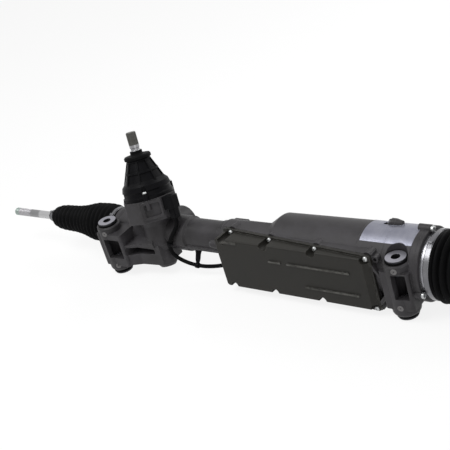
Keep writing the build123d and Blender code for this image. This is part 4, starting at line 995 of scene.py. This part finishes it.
def makeShaftPaint(facts):
    # the splines are dull from phosphating, the ground seat below them is bright
    tree, shader, colour = skin("splineSteel", finishes["groundSteel"])
    where = tree.nodes.new("ShaderNodeTexCoord").outputs["Object"]
    along = tree.nodes.new("ShaderNodeVectorMath")
    along.operation = "DOT_PRODUCT"
    tree.links.new(where, along.inputs[0])
    along.inputs[1].default_value = towerWay
    start = facts["splines"][0] + towerFoot.dot(towerWay)
    dull = spread(tree, along.outputs["Value"], start - facts["runOut"], start + facts["runOut"])
    tree.links.new(mixed(tree, dull, colour, facts["dull"]), shader.inputs["Base Color"])
    tree.links.new(spread(tree, dull, 0, 1, facts["metal"]), shader.inputs["Metallic"])


makeShaftPaint(shaft)
makeShaft(shaft)
print("input shaft made")


# sensor lead

lead = {
    "radius": 0.0032, "plugSide": 0.054, "inPlug": 0.00075, "plugBack": -0.008, "plugLow": 0.026, "drop": 0.009,
    "route": [
        (-0.1395, 0.0135, 0.080), (-0.1495, 0.008, 0.066), (-0.155, 0.007, 0.0515), (-0.154, 0.0095, 0.037),
        (-0.144, 0.013, 0.0255), (-0.126, 0.0145, 0.019), (-0.104, 0.016, 0.0165), (-0.084, 0.021, 0.016),
        (-0.068, 0.026, 0.0175), (-0.058, 0.026, 0.0175),
    ],
}
clips = {
    "half": 0.003, "inner": 0.0002, "outer": 0.0015, "round": 0.0003, "roundLong": 0.0006, "sides": 40,
    "tubeReach": 0.0255, "armThick": 0.0025, "armWide": 0.009, "armFlare": 0.55, "armRound": 0.0005,
    "between": {"towerClip": (1, 2), "tubeClip": (5, 6)},
}


def makeLead(facts):
    # leaves the plug along the tower, and follows its route to the box
    start = towerPoint(facts["plugSide"] - facts["inPlug"], facts["plugLow"], facts["plugBack"])
    points = [start, start - towerWay * facts["drop"]] + [Vector(p) for p in facts["route"]]
    curve = bpy.data.curves.new("sensorLead", "CURVE")
    curve.dimensions = "3D"
    line = curve.splines.new("NURBS")
    line.points.add(len(points) - 1)
    for spot, point in zip(line.points, points):
        spot.co = (*point, 1)
    line.order_u, line.use_endpoint_u = 3, True
    curve.resolution_u = 10
    curve.bevel_depth, curve.bevel_resolution = facts["radius"], 6
    curve.use_fill_caps = True
    piece = bpy.data.objects.new("sensorLead", curve)
    bpy.context.scene.collection.objects.link(piece)
    only(piece)
    bpy.ops.object.convert(target="MESH")
    piece = bpy.context.object
    finishWith(piece, "blackRubber", "housing", smooth=60)
    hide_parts("sensor_lead")


def makeArm(middle, r):
    # flat arm from the ring to the tube, wider where it meets the tube
    toTube = Vector((0, rackAt.y - middle.y, rackAt.z - middle.z))
    half = (toTube.length - clips["tubeReach"] - r) / 2
    deselect()
    bpy.ops.mesh.primitive_cube_add(size=1, location=(0, 0, 0))
    plate = bpy.context.object
    plate.scale = (clips["armThick"], clips["armWide"], half * 2)
    bpy.ops.object.transform_apply(location=True, rotation=True, scale=True)
    bpy.ops.object.mode_set(mode="EDIT")
    bpy.ops.mesh.subdivide(number_cuts=6)
    bpy.ops.object.mode_set(mode="OBJECT")

    def flare(co):
        return Vector((co.x, co.y * (1.0 + clips["armFlare"] * (co.z / half) ** 3), co.z + half + r))

    reshape(plate, flare)
    modify(plate, "BEVEL", width=clips["armRound"], segments=2, limit_method="ANGLE")
    out = toTube.normalized()
    stand(plate, (out.cross(alongX) * -1, alongX, out), middle)
    return plate


def makeClip(name, r, first, last):
    # a ring round the lead; the one below the tube has an arm
    half, outer = clips["half"], r + clips["outer"]
    edge, shoulder = outer - clips["round"], half - clips["roundLong"]
    stations = [
        (-half, r + clips["inner"]), (-half, edge), (-shoulder, outer), (shoulder, outer), (half, edge),
        (half, r + clips["inner"]),
    ]
    clip = turnedShape(name, stations, clips["sides"], tube=True)
    middle = (first + last) * 0.5
    settle(clip, middle, (last - first).normalized())
    if name == "tubeClip":
        clip = joined(name, [clip, makeArm(middle, r)])
    finishWith(clip, "blackPlastic", "housing")
    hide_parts("lead_clips")


makeLead(lead)
for clipName, (before, after) in clips["between"].items():
    makeClip(clipName, lead["radius"], Vector(lead["route"][before]), Vector(lead["route"][after]))
print("lead made")


# round ejector marks of the castings

ejectorMarks = [
    {"column": (0.270, 0.0205), "angle": -76, "z": 0.0835},
    {"column": (0.270, 0.0205), "angle": -82, "z": 0.0235},
    {"column": (-0.270, 0.0195), "angle": -76, "z": 0.0800},
    {"column": (-0.270, 0.0195), "angle": -63, "z": 0.0180},
]
markPaint = {"colour": (0.13, 0.126, 0.126), "second": (0.165, 0.158, 0.158)}
# height and radius of a mark: its wall, its low rim and the floor inside it
markShape = [
    (-0.0014, 0.0044), (0.0002, 0.0044), (0.0005, 0.0041), (0.0005, 0.0032), (0.0001, 0.0029), (0.0001, 0.0012),
    (-0.0001, 0.0010),
]


def makeMark(name, facts):
    # a flat round pad with a low rim, let into the round front of the column
    eye, r = facts["column"]
    out = Vector((cos(radians(facts["angle"])), sin(radians(facts["angle"])), 0))
    pad = turnedShape(name, markShape, 40)
    settle(pad, Vector((eye, 0, facts["z"])) + out * r, out)
    finishWith(pad, "castPad", "housing")


skin("castPad", dict(finishes["castDark"], **markPaint))
for k, markFacts in enumerate(ejectorMarks):
    makeMark(f"ejectorMark{k + 1}", markFacts)
print("marks made")
